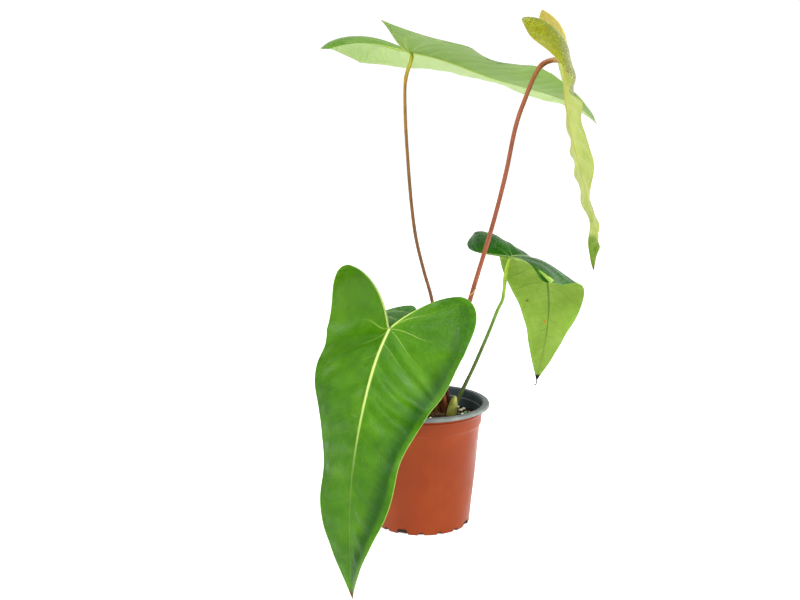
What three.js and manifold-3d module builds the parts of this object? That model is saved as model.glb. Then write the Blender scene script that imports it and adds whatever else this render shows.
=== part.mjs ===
// Potted anthurium: five heart-shaped leaves on long stalks in a terracotta-coloured nursery pot.
// Millimetres, +Z up, floor at z = 0. +X is the plant's right and -Y its front.
// The origin is the middle of the pot's base.
import * as THREE from 'three';
import { mergeVertices } from 'three/addons/utils/BufferGeometryUtils.js';
import Module from 'manifold-3d';

const wasm = await Module();
wasm.setup();

// ---------------------------------------------------------------- sizes
const CLEARANCE = 0.3;

const POT_HEIGHT = 120;
const RIM_RADIUS = 65;             // outside of the rolled lip
const LIP_OVERHANG = 6.7;          // lip past the collar under it
const LIP_RING = 4.8;              // width of the lip's flat top
const LIP_HEIGHT = 3.2;
const COLLAR_HEIGHT = 19;          // ridge to top of the lip
const COLLAR_STEP = 2.1;           // collar past the body under the ridge
const BODY_TAPER = 9.7;            // body's top past its base
const POT_WALL = 1.2;
const OPENING_ANGLE = -24;         // first wide drain opening, degrees from the front
const OPENING_COUNT = 4;
const OPENING_WIDTH = 12;
const OPENING_HEIGHT = 5;
const NOTCH_WIDTH = 5;
const NOTCH_HEIGHT = 2.4;
const NOTCHES_BETWEEN = 3;

const MIX_BELOW_RIM = 18;
const CROWN_ANGLE = 38;            // degrees from +X, seen from above
const CROWN_TO_WALL = 30.3;        // its middle to the pot's wall
const CROWN = { rx: 15.5, ry: 11, depth: 30, proud: 1 };

const BLADE_THICKNESS = 0.9;
const LOBE_ROWS = 6;
const BLADE_ROWS = 17;
const BLADE_COLUMNS = 4;           // across each half
const STALK_SIDES = 8;
const STALK_STEPS = 22;
const FOOT_RISE = 5;               // each stalk leaves the crown straight up for this far

const POT_SEGMENTS = 48;

// heights and outside radii that follow
const MIX_LEVEL = POT_HEIGHT - MIX_BELOW_RIM;
const RIDGE_HEIGHT = POT_HEIGHT - COLLAR_HEIGHT;
const CROWN_TOP = MIX_LEVEL + CROWN.proud;
const COLLAR_RADIUS = RIM_RADIUS - LIP_OVERHANG;
const BODY_TOP_RADIUS = COLLAR_RADIUS - COLLAR_STEP;
const BASE_RADIUS = BODY_TOP_RADIUS - BODY_TAPER;

// ---------------------------------------------------------------- leaves
// Every leaf is one outline, bent in the same ways:
//   joint       where the stalk meets the blade, from the middle of the pot at the mix's surface
//   length      joint to tip; lobe: joint back to the end of the lobes; width: of each half
//   lobeShare   where across the half-width a lobe ends; sinus: how straight each inner margin runs
//   heading, elevation, roll   direction of the midrib in degrees, at five places along it
//   fold, curl  [right, left]: how each half leaves the midrib and how it bends on outwards,
//               at five places from the lobes to the tip
//   lift        [right, left]: how far each lobe bends up
//   wave        [right, left]: [height, waves per length, start angle] of the margin
//   stalk       seat: its end's distance from the joint, in radii, where the halves fold down round it;
//               straight: how far it runs square to the blade before it ends;
//               foot: its place on the crown, as shares of the crown's radii from its middle;
//               points: where it runs above the crown's top, from the middle of the pot
const LEAVES = {
  front: {
    joint: [-30, -173.5, 127],
    length: 233, lobe: 40, width: 72, lobeShare: 0.68, sinus: [1, 1.5],
    heading: [-122, -119, -134, -150, -171],
    elevation: [-41, -62, -80, -90, -93],
    roll: [-8, -10, 15, 23, 35],
    fold: [[-52, -33, -2, 44, 74], [-4, -33, -41, -40, -45]],
    curl: [[101, 19, -7, -3, 3], [-5, -8, -6, 3, 16]],
    lift: [114, 36],
    wave: [[4, 3.7, -140], [16, 2.2, 100]],
    stalk: {
      radius: 2.3,
      seat: 0.8,
      straight: 13,
      foot: [-0.55, -0.64],
      points: [[15, -20, 50], [10, -80, 98], [-8, -135, 116]],
    },
    colour: 0x5a9425, stalkColour: 0x8a9a3c,
  },
  top_left: {
    joint: [-10.6, 25, 347],
    length: 257, lobe: 56, width: 83, lobeShare: 0.57, sinus: [1.4, 1.4],
    heading: [38, 34, 35, 34, 53],
    elevation: [-8, -18, -13, -18, -36],
    roll: [-20, -7, 3, 5, 53],
    fold: [[-18, 9, 7, 4, 9], [101, 25, 0, -14, -33]],
    curl: [[-70, -2, -16, 45, 56], [-139, -38, 7, 38, 37]],
    lift: [45, -52],
    wave: [[37, 1.4, 210], [1, 3.9, 10]],
    stalk: {
      radius: 1.8,
      seat: 0.1,
      straight: 5,
      foot: [0.42, 0.64],
      points: [
        [9.5, 24, 112], [1.7, 24, 140], [-5.7, 24, 171], [-9.9, 24, 202],
        [-13.7, 24, 247], [-16.2, 24, 292], [-15.6, 24.5, 322],
      ],
    },
    colour: 0x93b25a, stalkColour: 0x7c6a3a,
  },
  top_right: {
    joint: [124.2, -55, 340.5],
    length: 189, lobe: 35, width: 67, lobeShare: 0.86, sinus: [1.4, 1.4],
    heading: [-55, -54, -36, 2, 80],
    elevation: [-97, -73, -72, -74, -126],
    roll: [-16, -12, -17, 8, 55],
    fold: [[37, 57, 38, -8, -31], [-37, -31, -30, -24, -21]],
    curl: [[-68, -34, 1, 54, 138], [-42, -16, 8, 40, 70]],
    lift: [-64, 4],
    wave: [[7, 4.3, 40], [8, 2.1, 70]],
    stalk: {
      radius: 2.3,
      seat: 0.8,
      straight: 13,
      foot: [-0.16, 0.27],
      points: [
        [46, -5, 120], [65, -19.4, 192], [75.1, -29, 238],
        [82.8, -38.4, 282], [88.5, -44, 302], [103, -51, 336],
      ],
    },
    colour: 0xb2ba62, stalkColour: 0xa05a38,
  },
  right: {
    joint: [87, 46, 150],
    length: 173, lobe: 39, width: 65, lobeShare: 0.77, sinus: [1.4, 1.25],
    heading: [30, 50, 57, 55, 55],
    elevation: [8, -39, -83, -108, -118],
    roll: [37, 35, 31, 34, 35],
    fold: [[49, 37, 27, 17, 9], [9, -10, -26, -26, -16]],
    curl: [[-75, -40, -8, 20, 48], [-47, -37, -30, -18, -2]],
    lift: [104, -78],
    wave: [[-13, 1.7, -40], [10, 1.6, 30]],
    stalk: {
      radius: 1.9,
      seat: 0.5,
      straight: 5,
      foot: [0.74, -0.09],
      points: [
        [51.5, 24, 46], [66, 33, 78], [74.7, 38, 99],
        [79, 40, 107.5], [80.5, 41, 117], [82, 43, 132],
      ],
    },
    colour: 0x86a83e, stalkColour: 0x6f9a2c,
  },
  low: {
    joint: [-44, -79, 118.5],
    length: 112, lobe: 25, width: 37, lobeShare: 0.68, sinus: [1.4, 1.4],
    heading: [-130, -128, -125, -122, -122],
    elevation: [-17, -43, -59, -69, -74],
    roll: [-3, 0, 0, 0, 0],
    fold: [[10, 8, 5, 5, 5], [8, 6, 5, 5, 5]],
    curl: [[-10, -10, -8, -5, -5], [-12, -12, -8, -5, -5]],
    lift: [8, 8],
    wave: [[2, 2.0, 0], [2, 2.0, 90]],
    stalk: {
      radius: 1.7,
      seat: 0.1,
      straight: 8,
      foot: [-0.81, -0.09],
      points: [[-4, -6, 40], [-18, -40, 82]],
    },
    colour: 0x7d9c62, stalkColour: 0x7f8f3a,
  },
};
// half-width along the blade, joint to tip, as shares of the greatest
const TAPER = [1, 0.86, 0.70, 0.56, 0.44, 0.27, 0];

// ---------------------------------------------------------------- small tools
const radians = THREE.MathUtils.degToRad;
const clamp = THREE.MathUtils.clamp;
const vec = (x, y, z) => new THREE.Vector3(x, y, z);

// a smooth curve through evenly spaced values, read at share t
function along(values, t) {
  const last = values.length - 1;
  const at = clamp(t, 0, 1) * last;
  const i = Math.min(Math.floor(at), last - 1);
  const f = at - i;
  const p1 = values[i];
  const p2 = values[i + 1];
  const p0 = i > 0 ? values[i - 1] : 2 * p1 - p2;
  const p3 = i < last - 1 ? values[i + 2] : 2 * p2 - p1;
  const a = 2 * p1;
  const b = p2 - p0;
  const c = 2 * p0 - 5 * p1 + 4 * p2 - p3;
  const d = -p0 + 3 * p1 - 3 * p2 + p3;
  return 0.5 * (a + b * f + c * f * f + d * f * f * f);
}

// the same pseudo-random number for the same seed
function noise(seed) {
  const x = Math.sin(seed * 127.1) * 43758.5453;
  return x - Math.floor(x);
}

function material(colour, roughness = 0.6) {
  return new THREE.MeshStandardMaterial({ color: colour, roughness, metalness: 0 });
}

function toManifold(geometry) {
  const bare = geometry.clone();
  bare.deleteAttribute('normal');
  bare.deleteAttribute('uv');
  const merged = mergeVertices(bare, 1e-4);
  return new wasm.Manifold(new wasm.Mesh({
    numProp: 3,
    vertProperties: new Float32Array(merged.attributes.position.array),
    triVerts: new Uint32Array(merged.index.array),
  }));
}

function fromManifold(solid) {
  const mesh = solid.getMesh();
  const geometry = new THREE.BufferGeometry();
  geometry.setAttribute('position', new THREE.BufferAttribute(new Float32Array(mesh.vertProperties), 3));
  geometry.setIndex(new THREE.BufferAttribute(new Uint32Array(mesh.triVerts), 1));
  return geometry;
}

// a closed body from rings of points, each ring going the same way round, with flat ends
function loft(rings) {
  const positions = [];
  const index = [];
  const sides = rings[0].length;
  for (const ring of rings) {
    for (const p of ring) positions.push(p.x, p.y, p.z);
  }
  for (let i = 0; i + 1 < rings.length; i++) {
    for (let j = 0; j < sides; j++) {
      const a = i * sides + j;
      const b = i * sides + (j + 1) % sides;
      index.push(a, b, b + sides);
      index.push(a, b + sides, a + sides);
    }
  }
  const top = (rings.length - 1) * sides;
  for (let j = 1; j + 1 < sides; j++) {
    index.push(0, j + 1, j);
    index.push(top, top + j, top + j + 1);
  }
  const geometry = new THREE.BufferGeometry();
  geometry.setAttribute('position', new THREE.Float32BufferAttribute(positions, 3));
  geometry.setIndex(index);
  return geometry;
}

// rings of a round stalk along a curve, its radius given at each share of the length
function stalkRings(curve, radiusAt, sides, steps) {
  const frames = curve.computeFrenetFrames(steps, false);
  const rings = [];
  for (let i = 0; i <= steps; i++) {
    const centre = curve.getPointAt(i / steps);
    const radius = radiusAt(i / steps);
    const ring = [];
    for (let j = 0; j < sides; j++) {
      const turn = (j / sides) * 2 * Math.PI;
      ring.push(centre.clone()
        .addScaledVector(frames.normals[i], radius * Math.cos(turn))
        .addScaledVector(frames.binormals[i], radius * Math.sin(turn)));
    }
    rings.push(ring);
  }
  return rings;
}

// ---------------------------------------------------------------- pot and mix
// outside of the pot from the base to the lip, as [radius, height]
function outerProfile() {
  const lipUnder = POT_HEIGHT - LIP_HEIGHT;
  return [
    [BASE_RADIUS, 0],
    [BASE_RADIUS + (BODY_TOP_RADIUS - BASE_RADIUS) * 0.72, RIDGE_HEIGHT * 0.7],
    [BODY_TOP_RADIUS, RIDGE_HEIGHT - 2],
    [BODY_TOP_RADIUS + 1.4, RIDGE_HEIGHT],
    [COLLAR_RADIUS, lipUnder - 3],
    [COLLAR_RADIUS + 0.7, lipUnder],
  ];
}

function lipProfile() {
  const middle = POT_HEIGHT - LIP_HEIGHT / 2;
  const points = [];
  for (let k = -3; k <= 3; k++) {
    const turn = (k / 3) * (Math.PI / 2) * 0.94;
    const inset = LIP_HEIGHT / 2 * (1 - Math.cos(turn));
    points.push([RIM_RADIUS - inset, middle + LIP_HEIGHT / 2 * Math.sin(turn)]);
  }
  return points;
}

function innerRadius(height) {
  const profile = outerProfile();
  for (let i = 0; i + 1 < profile.length; i++) {
    const [r0, z0] = profile[i];
    const [r1, z1] = profile[i + 1];
    if (height <= z1) return r0 + (r1 - r0) * (height - z0) / (z1 - z0) - POT_WALL;
  }
  return COLLAR_RADIUS - POT_WALL;
}

function potGeometry() {
  const outside = [...outerProfile(), ...lipProfile(), [RIM_RADIUS - LIP_RING, POT_HEIGHT]];
  const inside = outerProfile().slice(1).reverse().map(([r, z]) => [r - POT_WALL, z]);
  const profile = [[0, 0], ...outside, ...inside, [innerRadius(POT_WALL), POT_WALL], [0, POT_WALL]];
  const lathe = new THREE.LatheGeometry(profile.map(([r, z]) => new THREE.Vector2(r, z)), POT_SEGMENTS);
  lathe.rotateX(Math.PI / 2);
  let pot = toManifold(lathe);
  for (const cutter of drainCutters()) pot = pot.subtract(toManifold(cutter));
  return fromManifold(pot);
}

// wide openings and small notches in the corner between wall and base
function drainCutters() {
  const cutters = [];
  const spacing = 360 / (OPENING_COUNT * (NOTCHES_BETWEEN + 1));
  for (let i = 0; i < OPENING_COUNT * (NOTCHES_BETWEEN + 1); i++) {
    const wide = i % (NOTCHES_BETWEEN + 1) === 0;
    const width = wide ? OPENING_WIDTH : NOTCH_WIDTH;
    const height = wide ? OPENING_HEIGHT : NOTCH_HEIGHT;
    const box = new THREE.BoxGeometry(width, 9, 2 * height);
    box.translate(0, -BASE_RADIUS + 1, 0);
    box.rotateZ(radians(OPENING_ANGLE + i * spacing));
    cutters.push(box);
  }
  return cutters;
}

// the mix fills the pot and has a recess for the crown
function mixGeometry() {
  const low = POT_WALL + CLEARANCE;
  const bend = RIDGE_HEIGHT * 0.7;
  const heights = [low, bend, RIDGE_HEIGHT - 2, RIDGE_HEIGHT, MIX_LEVEL - 1]
    .filter((z) => z < MIX_LEVEL)
    .sort((a, b) => a - b);
  const profile = [[0, low]];
  for (const z of heights) profile.push([innerRadius(z) - CLEARANCE - 0.2, z]);
  profile.push([innerRadius(MIX_LEVEL) - CLEARANCE - 4, MIX_LEVEL]);
  profile.push([0, MIX_LEVEL]);
  const lathe = new THREE.LatheGeometry(profile.map(([r, z]) => new THREE.Vector2(r, z)), POT_SEGMENTS);
  lathe.rotateX(Math.PI / 2);
  const recess = crownGeometry(CLEARANCE, 10);
  return fromManifold(toManifold(lathe).subtract(toManifold(recess)));
}

// a place on the crown's top, given as shares of its radii from its middle
function onCrown([across, back]) {
  const out = innerRadius(MIX_LEVEL) - CROWN_TO_WALL;
  const x = out * Math.cos(radians(CROWN_ANGLE)) + across * CROWN.rx;
  const y = out * Math.sin(radians(CROWN_ANGLE)) + back * CROWN.ry;
  return vec(x, y, CROWN_TOP + CLEARANCE);
}

// the short stem that all stalks grow from, with grow added all round and extra on top
function crownGeometry(grow, extra) {
  const height = CROWN.depth + CROWN.proud + grow + extra;
  const body = new THREE.CylinderGeometry(1, 1, height, 20);
  body.rotateX(Math.PI / 2);
  body.scale(CROWN.rx + grow, CROWN.ry + grow, 1);
  const middle = onCrown([0, 0]);
  body.translate(middle.x, middle.y, CROWN_TOP + extra - height / 2);
  return body;
}

// ---------------------------------------------------------------- leaf blades
// inner and outer half-width at distance s from the joint (negative in the lobes)
function halfWidths(leaf, s, side) {
  const { width, lobeShare, lobe, length } = leaf;
  if (s >= 0) return [0, width * along(TAPER, s / length)];
  const x = clamp(-s / lobe, 0, 1);
  const sinus = leaf.sinus[side > 0 ? 0 : 1];
  const end = lobeShare * width;
  return [
    end * (1 - (1 - x ** sinus) ** (1 / sinus)),
    end + (width - end) * (1 - x ** 2.2) ** (1 / 2.2),
  ];
}

function directionFrame(heading, elevation, roll) {
  const h = radians(heading);
  const e = radians(elevation);
  const tangent = vec(Math.cos(e) * Math.cos(h), Math.cos(e) * Math.sin(h), Math.sin(e));
  const normal = vec(-Math.sin(e) * Math.cos(h), -Math.sin(e) * Math.sin(h), Math.cos(e));
  normal.applyAxisAngle(tangent, radians(roll));
  return { tangent, normal, side: tangent.clone().cross(normal) };
}

// the midrib as a list of points with their directions, and each lobe's own short spine
function spines(leaf) {
  const steps = 160;
  const main = [];
  let point = vec(leaf.joint[0], leaf.joint[1], leaf.joint[2] + MIX_LEVEL);
  for (let i = 0; i <= steps; i++) {
    const t = i / steps;
    const frame = directionFrame(along(leaf.heading, t), along(leaf.elevation, t), along(leaf.roll, t));
    if (i > 0) {
      const step = main[i - 1].tangent.clone().add(frame.tangent).multiplyScalar(leaf.length / steps / 2);
      point = point.clone().add(step);
    }
    main.push({ centre: point, ...frame });
  }
  const lobes = leaf.lift.map((lift) => {
    const list = [];
    const { tangent, normal, side } = main[0];
    point = main[0].centre;
    for (let i = 0; i <= steps; i++) {
      const turn = -radians(lift) * (i / steps);
      const back = tangent.clone().negate().applyAxisAngle(side, turn);
      const up = normal.clone().applyAxisAngle(side, turn);
      if (i > 0) {
        const step = list[i - 1].tangent.clone().add(back).multiplyScalar(leaf.lobe / steps / 2);
        point = point.clone().add(step);
      }
      list.push({ centre: point, tangent: back, normal: up, side });
    }
    return list;
  });
  return { main, lobes };
}

// a point of the blade's middle surface: s along, q across from the inner to the outer edge
function bladePoint(leaf, spine, s, q, side) {
  const half = side > 0 ? 0 : 1;
  const list = s < 0 ? spine.lobes[half] : spine.main;
  const share = s < 0 ? -s / leaf.lobe : s / leaf.length;
  const at = list[Math.round(clamp(share, 0, 1) * (list.length - 1))];
  const t = (s + leaf.lobe) / (leaf.length + leaf.lobe);
  const fold = radians(along(leaf.fold[half], t));
  const curl = radians(along(leaf.curl[half], t));
  const bend = (Math.abs(curl) < 1e-3 ? 1e-3 : curl) / leaf.width;
  const [inner, outer] = halfWidths(leaf, s, side);
  const v = inner + (outer - inner) * q;
  const across = (Math.sin(fold + bend * v) - Math.sin(fold)) / bend;
  const [height, waves, start] = leaf.wave[half];
  const phase = 2 * Math.PI * waves * s / leaf.length + radians(start);
  const ripple = height * (v / leaf.width) ** 2 * Math.sin(phase);
  const up = (Math.cos(fold) - Math.cos(fold + bend * v)) / bend + ripple;
  return at.centre.clone().addScaledVector(at.side, side * across).addScaledVector(at.normal, up);
}

// The middle surface as one sheet: both halves share the midrib, and each lobe has its own inner
// margin. Returns its points, triangles seen from the under side, and the margin as one loop.
function bladeSheet(leaf) {
  const spine = spines(leaf);
  const points = [];
  const triangles = [];
  const add = (p) => points.push(p) - 1;
  const rows = [];
  for (let i = 0; i <= LOBE_ROWS; i++) rows.push(-leaf.lobe * Math.sin((1 - i / LOBE_ROWS) * Math.PI / 2));
  for (let i = 1; i <= BLADE_ROWS; i++) rows.push(leaf.length * i / BLADE_ROWS);
  const last = rows.length - 1;
  const tip = add(bladePoint(leaf, spine, leaf.length, 0, 1));
  const midrib = rows.map((s, i) => (s >= 0 && i < last ? add(bladePoint(leaf, spine, s, 0, 1)) : -1));
  const edges = [];
  for (const side of [1, -1]) {
    const grid = rows.map((s, i) => {
      if (i === last) return new Array(BLADE_COLUMNS + 1).fill(tip);
      if (i === 0) return new Array(BLADE_COLUMNS + 1).fill(add(bladePoint(leaf, spine, s, 0, side)));
      const row = [];
      for (let j = 0; j <= BLADE_COLUMNS; j++) {
        row.push(j === 0 && s >= 0 ? midrib[i] : add(bladePoint(leaf, spine, s, j / BLADE_COLUMNS, side)));
      }
      return row;
    });
    for (let i = 0; i < last; i++) {
      for (let j = 0; j < BLADE_COLUMNS; j++) {
        const a = grid[i][j];
        const b = grid[i][j + 1];
        const c = grid[i + 1][j + 1];
        const d = grid[i + 1][j];
        for (const t of [[a, b, c], [a, c, d]]) {
          if (t[0] === t[1] || t[1] === t[2] || t[2] === t[0]) continue;
          triangles.push(side > 0 ? [t[0], t[2], t[1]] : t);
        }
      }
    }
    const outer = grid.map((row) => row[BLADE_COLUMNS]);
    const inner = grid.slice(0, LOBE_ROWS + 1).map((row) => row[0]);
    edges.push({ outer, inner });
  }
  const [right, left] = edges;
  const loop = [
    ...right.outer.slice().reverse(), ...right.inner.slice(1),
    ...left.inner.slice(0, -1).reverse(), ...left.outer.slice(1, -1),
  ];
  return { points, triangles, loop, spine };
}

// the sheet given its thickness: under and upper side, closed along the margin
function bladeGeometry(sheet) {
  const middle = new THREE.BufferGeometry();
  const flat = sheet.points.flatMap((p) => p.toArray());
  middle.setAttribute('position', new THREE.Float32BufferAttribute(flat, 3));
  middle.setIndex(sheet.triangles.flat());
  middle.computeVertexNormals();
  const normals = middle.attributes.normal;
  const count = sheet.points.length;
  const positions = [];
  for (const direction of [1, -1]) {
    sheet.points.forEach((p, i) => {
      const n = vec(normals.getX(i), normals.getY(i), normals.getZ(i));
      positions.push(...p.clone().addScaledVector(n, direction * BLADE_THICKNESS / 2).toArray());
    });
  }
  const index = [];
  for (const [a, b, c] of sheet.triangles) {
    index.push(a, b, c);
    index.push(a + count, c + count, b + count);
  }
  sheet.loop.forEach((a, i) => {
    const b = sheet.loop[(i + 1) % sheet.loop.length];
    index.push(a, b + count, b);
    index.push(a, a + count, b + count);
  });
  const geometry = new THREE.BufferGeometry();
  geometry.setAttribute('position', new THREE.Float32BufferAttribute(positions, 3));
  geometry.setIndex(index);
  return geometry;
}

// the middle line of a stalk, from the crown to just under the joint
function stalkCurve({ stalk }, spine) {
  const { centre, normal } = spine.main[0];
  const foot = onCrown(stalk.foot);
  const route = [foot, foot.clone().setZ(foot.z + FOOT_RISE)];
  for (const [x, y, z] of stalk.points) route.push(vec(x, y, z + CROWN_TOP));
  route.push(centre.clone().addScaledVector(normal, -stalk.straight));
  const endGap = BLADE_THICKNESS / 2 + CLEARANCE + stalk.seat * stalk.radius;
  route.push(centre.clone().addScaledVector(normal, -endGap));
  return new THREE.CatmullRomCurve3(route, false, 'centripetal');
}

// a stalk is thicker at its foot and at the knee under the blade
function stalkGeometry({ stalk }, curve) {
  const length = curve.getLength();
  const radiusAt = (t) => {
    const toEnd = (1 - t) * length;
    const foot = 1 + 0.45 * Math.exp(-t * length / 14);
    const knee = 1 + 0.2 * THREE.MathUtils.smoothstep(28 - toEnd, 0, 8);
    return stalk.radius * foot * knee * (1 - 0.18 * t);
  };
  const rings = stalkRings(curve, radiusAt, STALK_SIDES, STALK_STEPS);
  for (const p of rings[0]) p.z = CROWN_TOP + CLEARANCE;
  return loft(rings);
}

// ---------------------------------------------------------------- sheaths, fibre, grains
// a thin, curved, pointed sheath standing on the crown, open towards the stalks
function sheathGeometry({ foot, tip, width, thickness, facing }) {
  const rings = [];
  const steps = 10;
  const start = onCrown(foot);
  const end = start.clone().add(vec(...tip));
  for (let i = 0; i <= steps; i++) {
    const t = i / steps;
    const centre = start.clone().lerp(end, t);
    const half = (width / 2) * Math.max(0.08, Math.sqrt(1 - t ** 2.2));
    const ring = [];
    for (const layer of [1, -1]) {
      for (let j = 0; j <= 4; j++) {
        const share = layer > 0 ? j / 4 : 1 - j / 4;
        const across = (share * 2 - 1) * half;
        const bulge = (1 - (share * 2 - 1) ** 2) * half * 0.7 + layer * thickness / 2;
        const turn = radians(facing);
        ring.push(centre.clone().add(vec(
          across * Math.cos(turn) + bulge * Math.sin(turn),
          across * Math.sin(turn) - bulge * Math.cos(turn),
          0,
        )));
      }
    }
    rings.push(ring);
  }
  return loft(rings);
}

// foot as on the stalks; tip from the foot
const SHEATHS = {
  sheath_brown: {
    foot: [0.13, -0.45], tip: [-1.5, -1, 24],
    width: 7, thickness: 0.8, facing: 0, colour: 0x4a2a12,
  },
  sheath_green: {
    foot: [0.5, -0.78], tip: [3.5, -0.5, 20],
    width: 10.5, thickness: 1.2, facing: 14, colour: 0x9aa85a,
  },
};

// dry strand that lies against the front of the red stalk at the given height above the crown
const FIBRE_STALK = 'top_right';
const FIBRE = {
  radius: 0.5, height: 124, gap: 1,
  points: [[-5, 0.5, -4], [-1, -1, -1], [2.5, -1, 3], [7, 0.5, 9]],
};

function fibreGeometry({ stalk }, curve) {
  const steps = 200;
  const heights = curve.getSpacedPoints(steps);
  const against = heights.find((p) => p.z > CROWN_TOP + FIBRE.height);
  const middle = against.clone().add(vec(0, -(stalk.radius + FIBRE.radius + FIBRE.gap), 0));
  const route = FIBRE.points.map((offset) => middle.clone().add(vec(...offset)));
  return loft(stalkRings(new THREE.CatmullRomCurve3(route, false, 'centripetal'), () => FIBRE.radius, 6, 10));
}

// loose pieces on the mix: [share of the way out to the wall, angle from +X in degrees, size]
const PERLITE = [
  [0.96, 43, 2.2], [0.88, 31, 2.2], [0.80, 12, 2.2], [1.00, 35, 1.9], [0.90, 20, 1.6], [0.97, 52, 2.0],
  [0.70, 124, 2.1], [0.69, 172, 2.3], [0.60, 255, 2.0],
];
const BARK = [
  [0.99, 25, 3.2], [0.97, 62, 3.4], [0.90, 80, 4.0], [0.87, 110, 3.6], [0.85, 150, 4.2],
  [0.70, 225, 3.8], [0.82, 277, 3.8], [0.84, 325, 4.0],
];
const GRAIN_TO_WALL = 5.5;

// an irregular grain lying on the mix
function grainGeometry([share, angle, size], seed, flatness) {
  const out = share * (innerRadius(MIX_LEVEL) - GRAIN_TO_WALL);
  const grain = new THREE.IcosahedronGeometry(size, 0);
  const position = grain.attributes.position;
  for (let i = 0; i < position.count; i++) {
    const key = Math.round(position.getX(i) * 7 + position.getY(i) * 13 + position.getZ(i) * 29) + seed;
    const grow = 0.85 + 0.3 * noise(key);
    position.setXYZ(i, position.getX(i) * grow, position.getY(i) * grow, position.getZ(i) * grow);
  }
  grain.scale(1 + 0.3 * noise(seed + 1), 1, flatness);
  grain.rotateZ(noise(seed + 2) * Math.PI);
  grain.computeBoundingBox();
  const lift = MIX_LEVEL + CLEARANCE - grain.boundingBox.min.z;
  grain.translate(out * Math.cos(radians(angle)), out * Math.sin(radians(angle)), lift);
  return grain;
}

// ---------------------------------------------------------------- the whole plant
const plant = new THREE.Group();

function place(name, geometry, surface) {
  const mesh = new THREE.Mesh(geometry, surface);
  mesh.name = name;
  plant.add(mesh);
}

place('pot', potGeometry(), material(0xb0552b, 0.5));
place('potting_mix', mixGeometry(), material(0x3a2c1c, 0.95));
place('crown', crownGeometry(0, 0), material(0x6a5830, 0.8));

for (const [name, leaf] of Object.entries(LEAVES)) {
  const sheet = bladeSheet(leaf);
  const curve = stalkCurve(leaf, sheet.spine);
  place(`${name}_blade`, bladeGeometry(sheet), material(leaf.colour, 0.45));
  place(`${name}_stalk`, stalkGeometry(leaf, curve), material(leaf.stalkColour, 0.5));
  if (name === FIBRE_STALK) place('dry_fibre', fibreGeometry(leaf, curve), material(0xc0a468, 0.8));
}

for (const [name, sheath] of Object.entries(SHEATHS)) {
  place(name, sheathGeometry(sheath), material(sheath.colour, 0.8));
}

PERLITE.forEach((grain, i) => {
  place(`perlite_${i + 1}`, grainGeometry(grain, 10 * i + 3, 0.8), material(0xe8e2d4, 0.9));
});
BARK.forEach((grain, i) => {
  place(`bark_${i + 1}`, grainGeometry(grain, 10 * i + 307, 0.4), material(0x4a2f1c, 0.9));
});

export default plant;
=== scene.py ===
"""Potted anthurium: five heart-shaped leaves on long stalks in a terracotta-coloured nursery pot.

Lengths in the tables are millimetres and are turned into metres by MM; angles are degrees.
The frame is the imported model's: origin in the middle of the pot's base, +X right, -Y front, +Z up.
"""

import math

import bmesh
import bpy
import numpy as np
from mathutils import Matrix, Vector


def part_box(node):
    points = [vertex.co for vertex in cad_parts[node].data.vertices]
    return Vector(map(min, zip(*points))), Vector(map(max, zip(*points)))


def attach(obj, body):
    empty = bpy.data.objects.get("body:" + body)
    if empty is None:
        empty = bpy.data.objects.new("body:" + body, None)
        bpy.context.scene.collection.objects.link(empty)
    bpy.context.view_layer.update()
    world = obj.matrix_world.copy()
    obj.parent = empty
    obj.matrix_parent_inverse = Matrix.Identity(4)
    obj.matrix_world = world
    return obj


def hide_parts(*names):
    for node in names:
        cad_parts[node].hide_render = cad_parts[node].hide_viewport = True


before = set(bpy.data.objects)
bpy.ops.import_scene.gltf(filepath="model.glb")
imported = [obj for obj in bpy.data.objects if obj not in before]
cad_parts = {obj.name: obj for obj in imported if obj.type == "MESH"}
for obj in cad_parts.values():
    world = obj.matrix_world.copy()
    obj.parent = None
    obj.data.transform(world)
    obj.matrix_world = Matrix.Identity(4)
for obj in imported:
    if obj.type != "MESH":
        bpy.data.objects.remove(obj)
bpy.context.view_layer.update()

MM = 0.001


def box_mm(node):
    """Lowest and highest corner of a CAD node, in millimetres."""
    low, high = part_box(node)
    return np.array(low) / MM, np.array(high) / MM


MIX_LEVEL = box_mm("potting_mix")[1][2]
CROWN_LOW, CROWN_HIGH = box_mm("crown")
CROWN_MIDDLE = (CROWN_LOW + CROWN_HIGH) / 2
CROWN_RADII = (CROWN_HIGH - CROWN_LOW) / 2
CROWN_TOP = CROWN_HIGH[2]
POT_LOW, POT_HIGH = box_mm("pot")
POT_HEIGHT = POT_HIGH[2]
RIM_RADIUS = (POT_HIGH[0] - POT_LOW[0]) / 2


# ---- colours
STUDIO_LIGHT = 1.7         # how much brighter than its own colour the studio light shows a surface


def surface_colour(red, green, blue, light=STUDIO_LIGHT):
    """The surface colour that shows as these 0-255 display values in the studio light."""
    channels = [c / 255 for c in (red, green, blue)]
    linear = [c / 12.92 if c <= 0.04045 else ((c + 0.055) / 1.055) ** 2.4 for c in channels]
    return (*[c / light for c in linear], 1.0)


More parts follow.
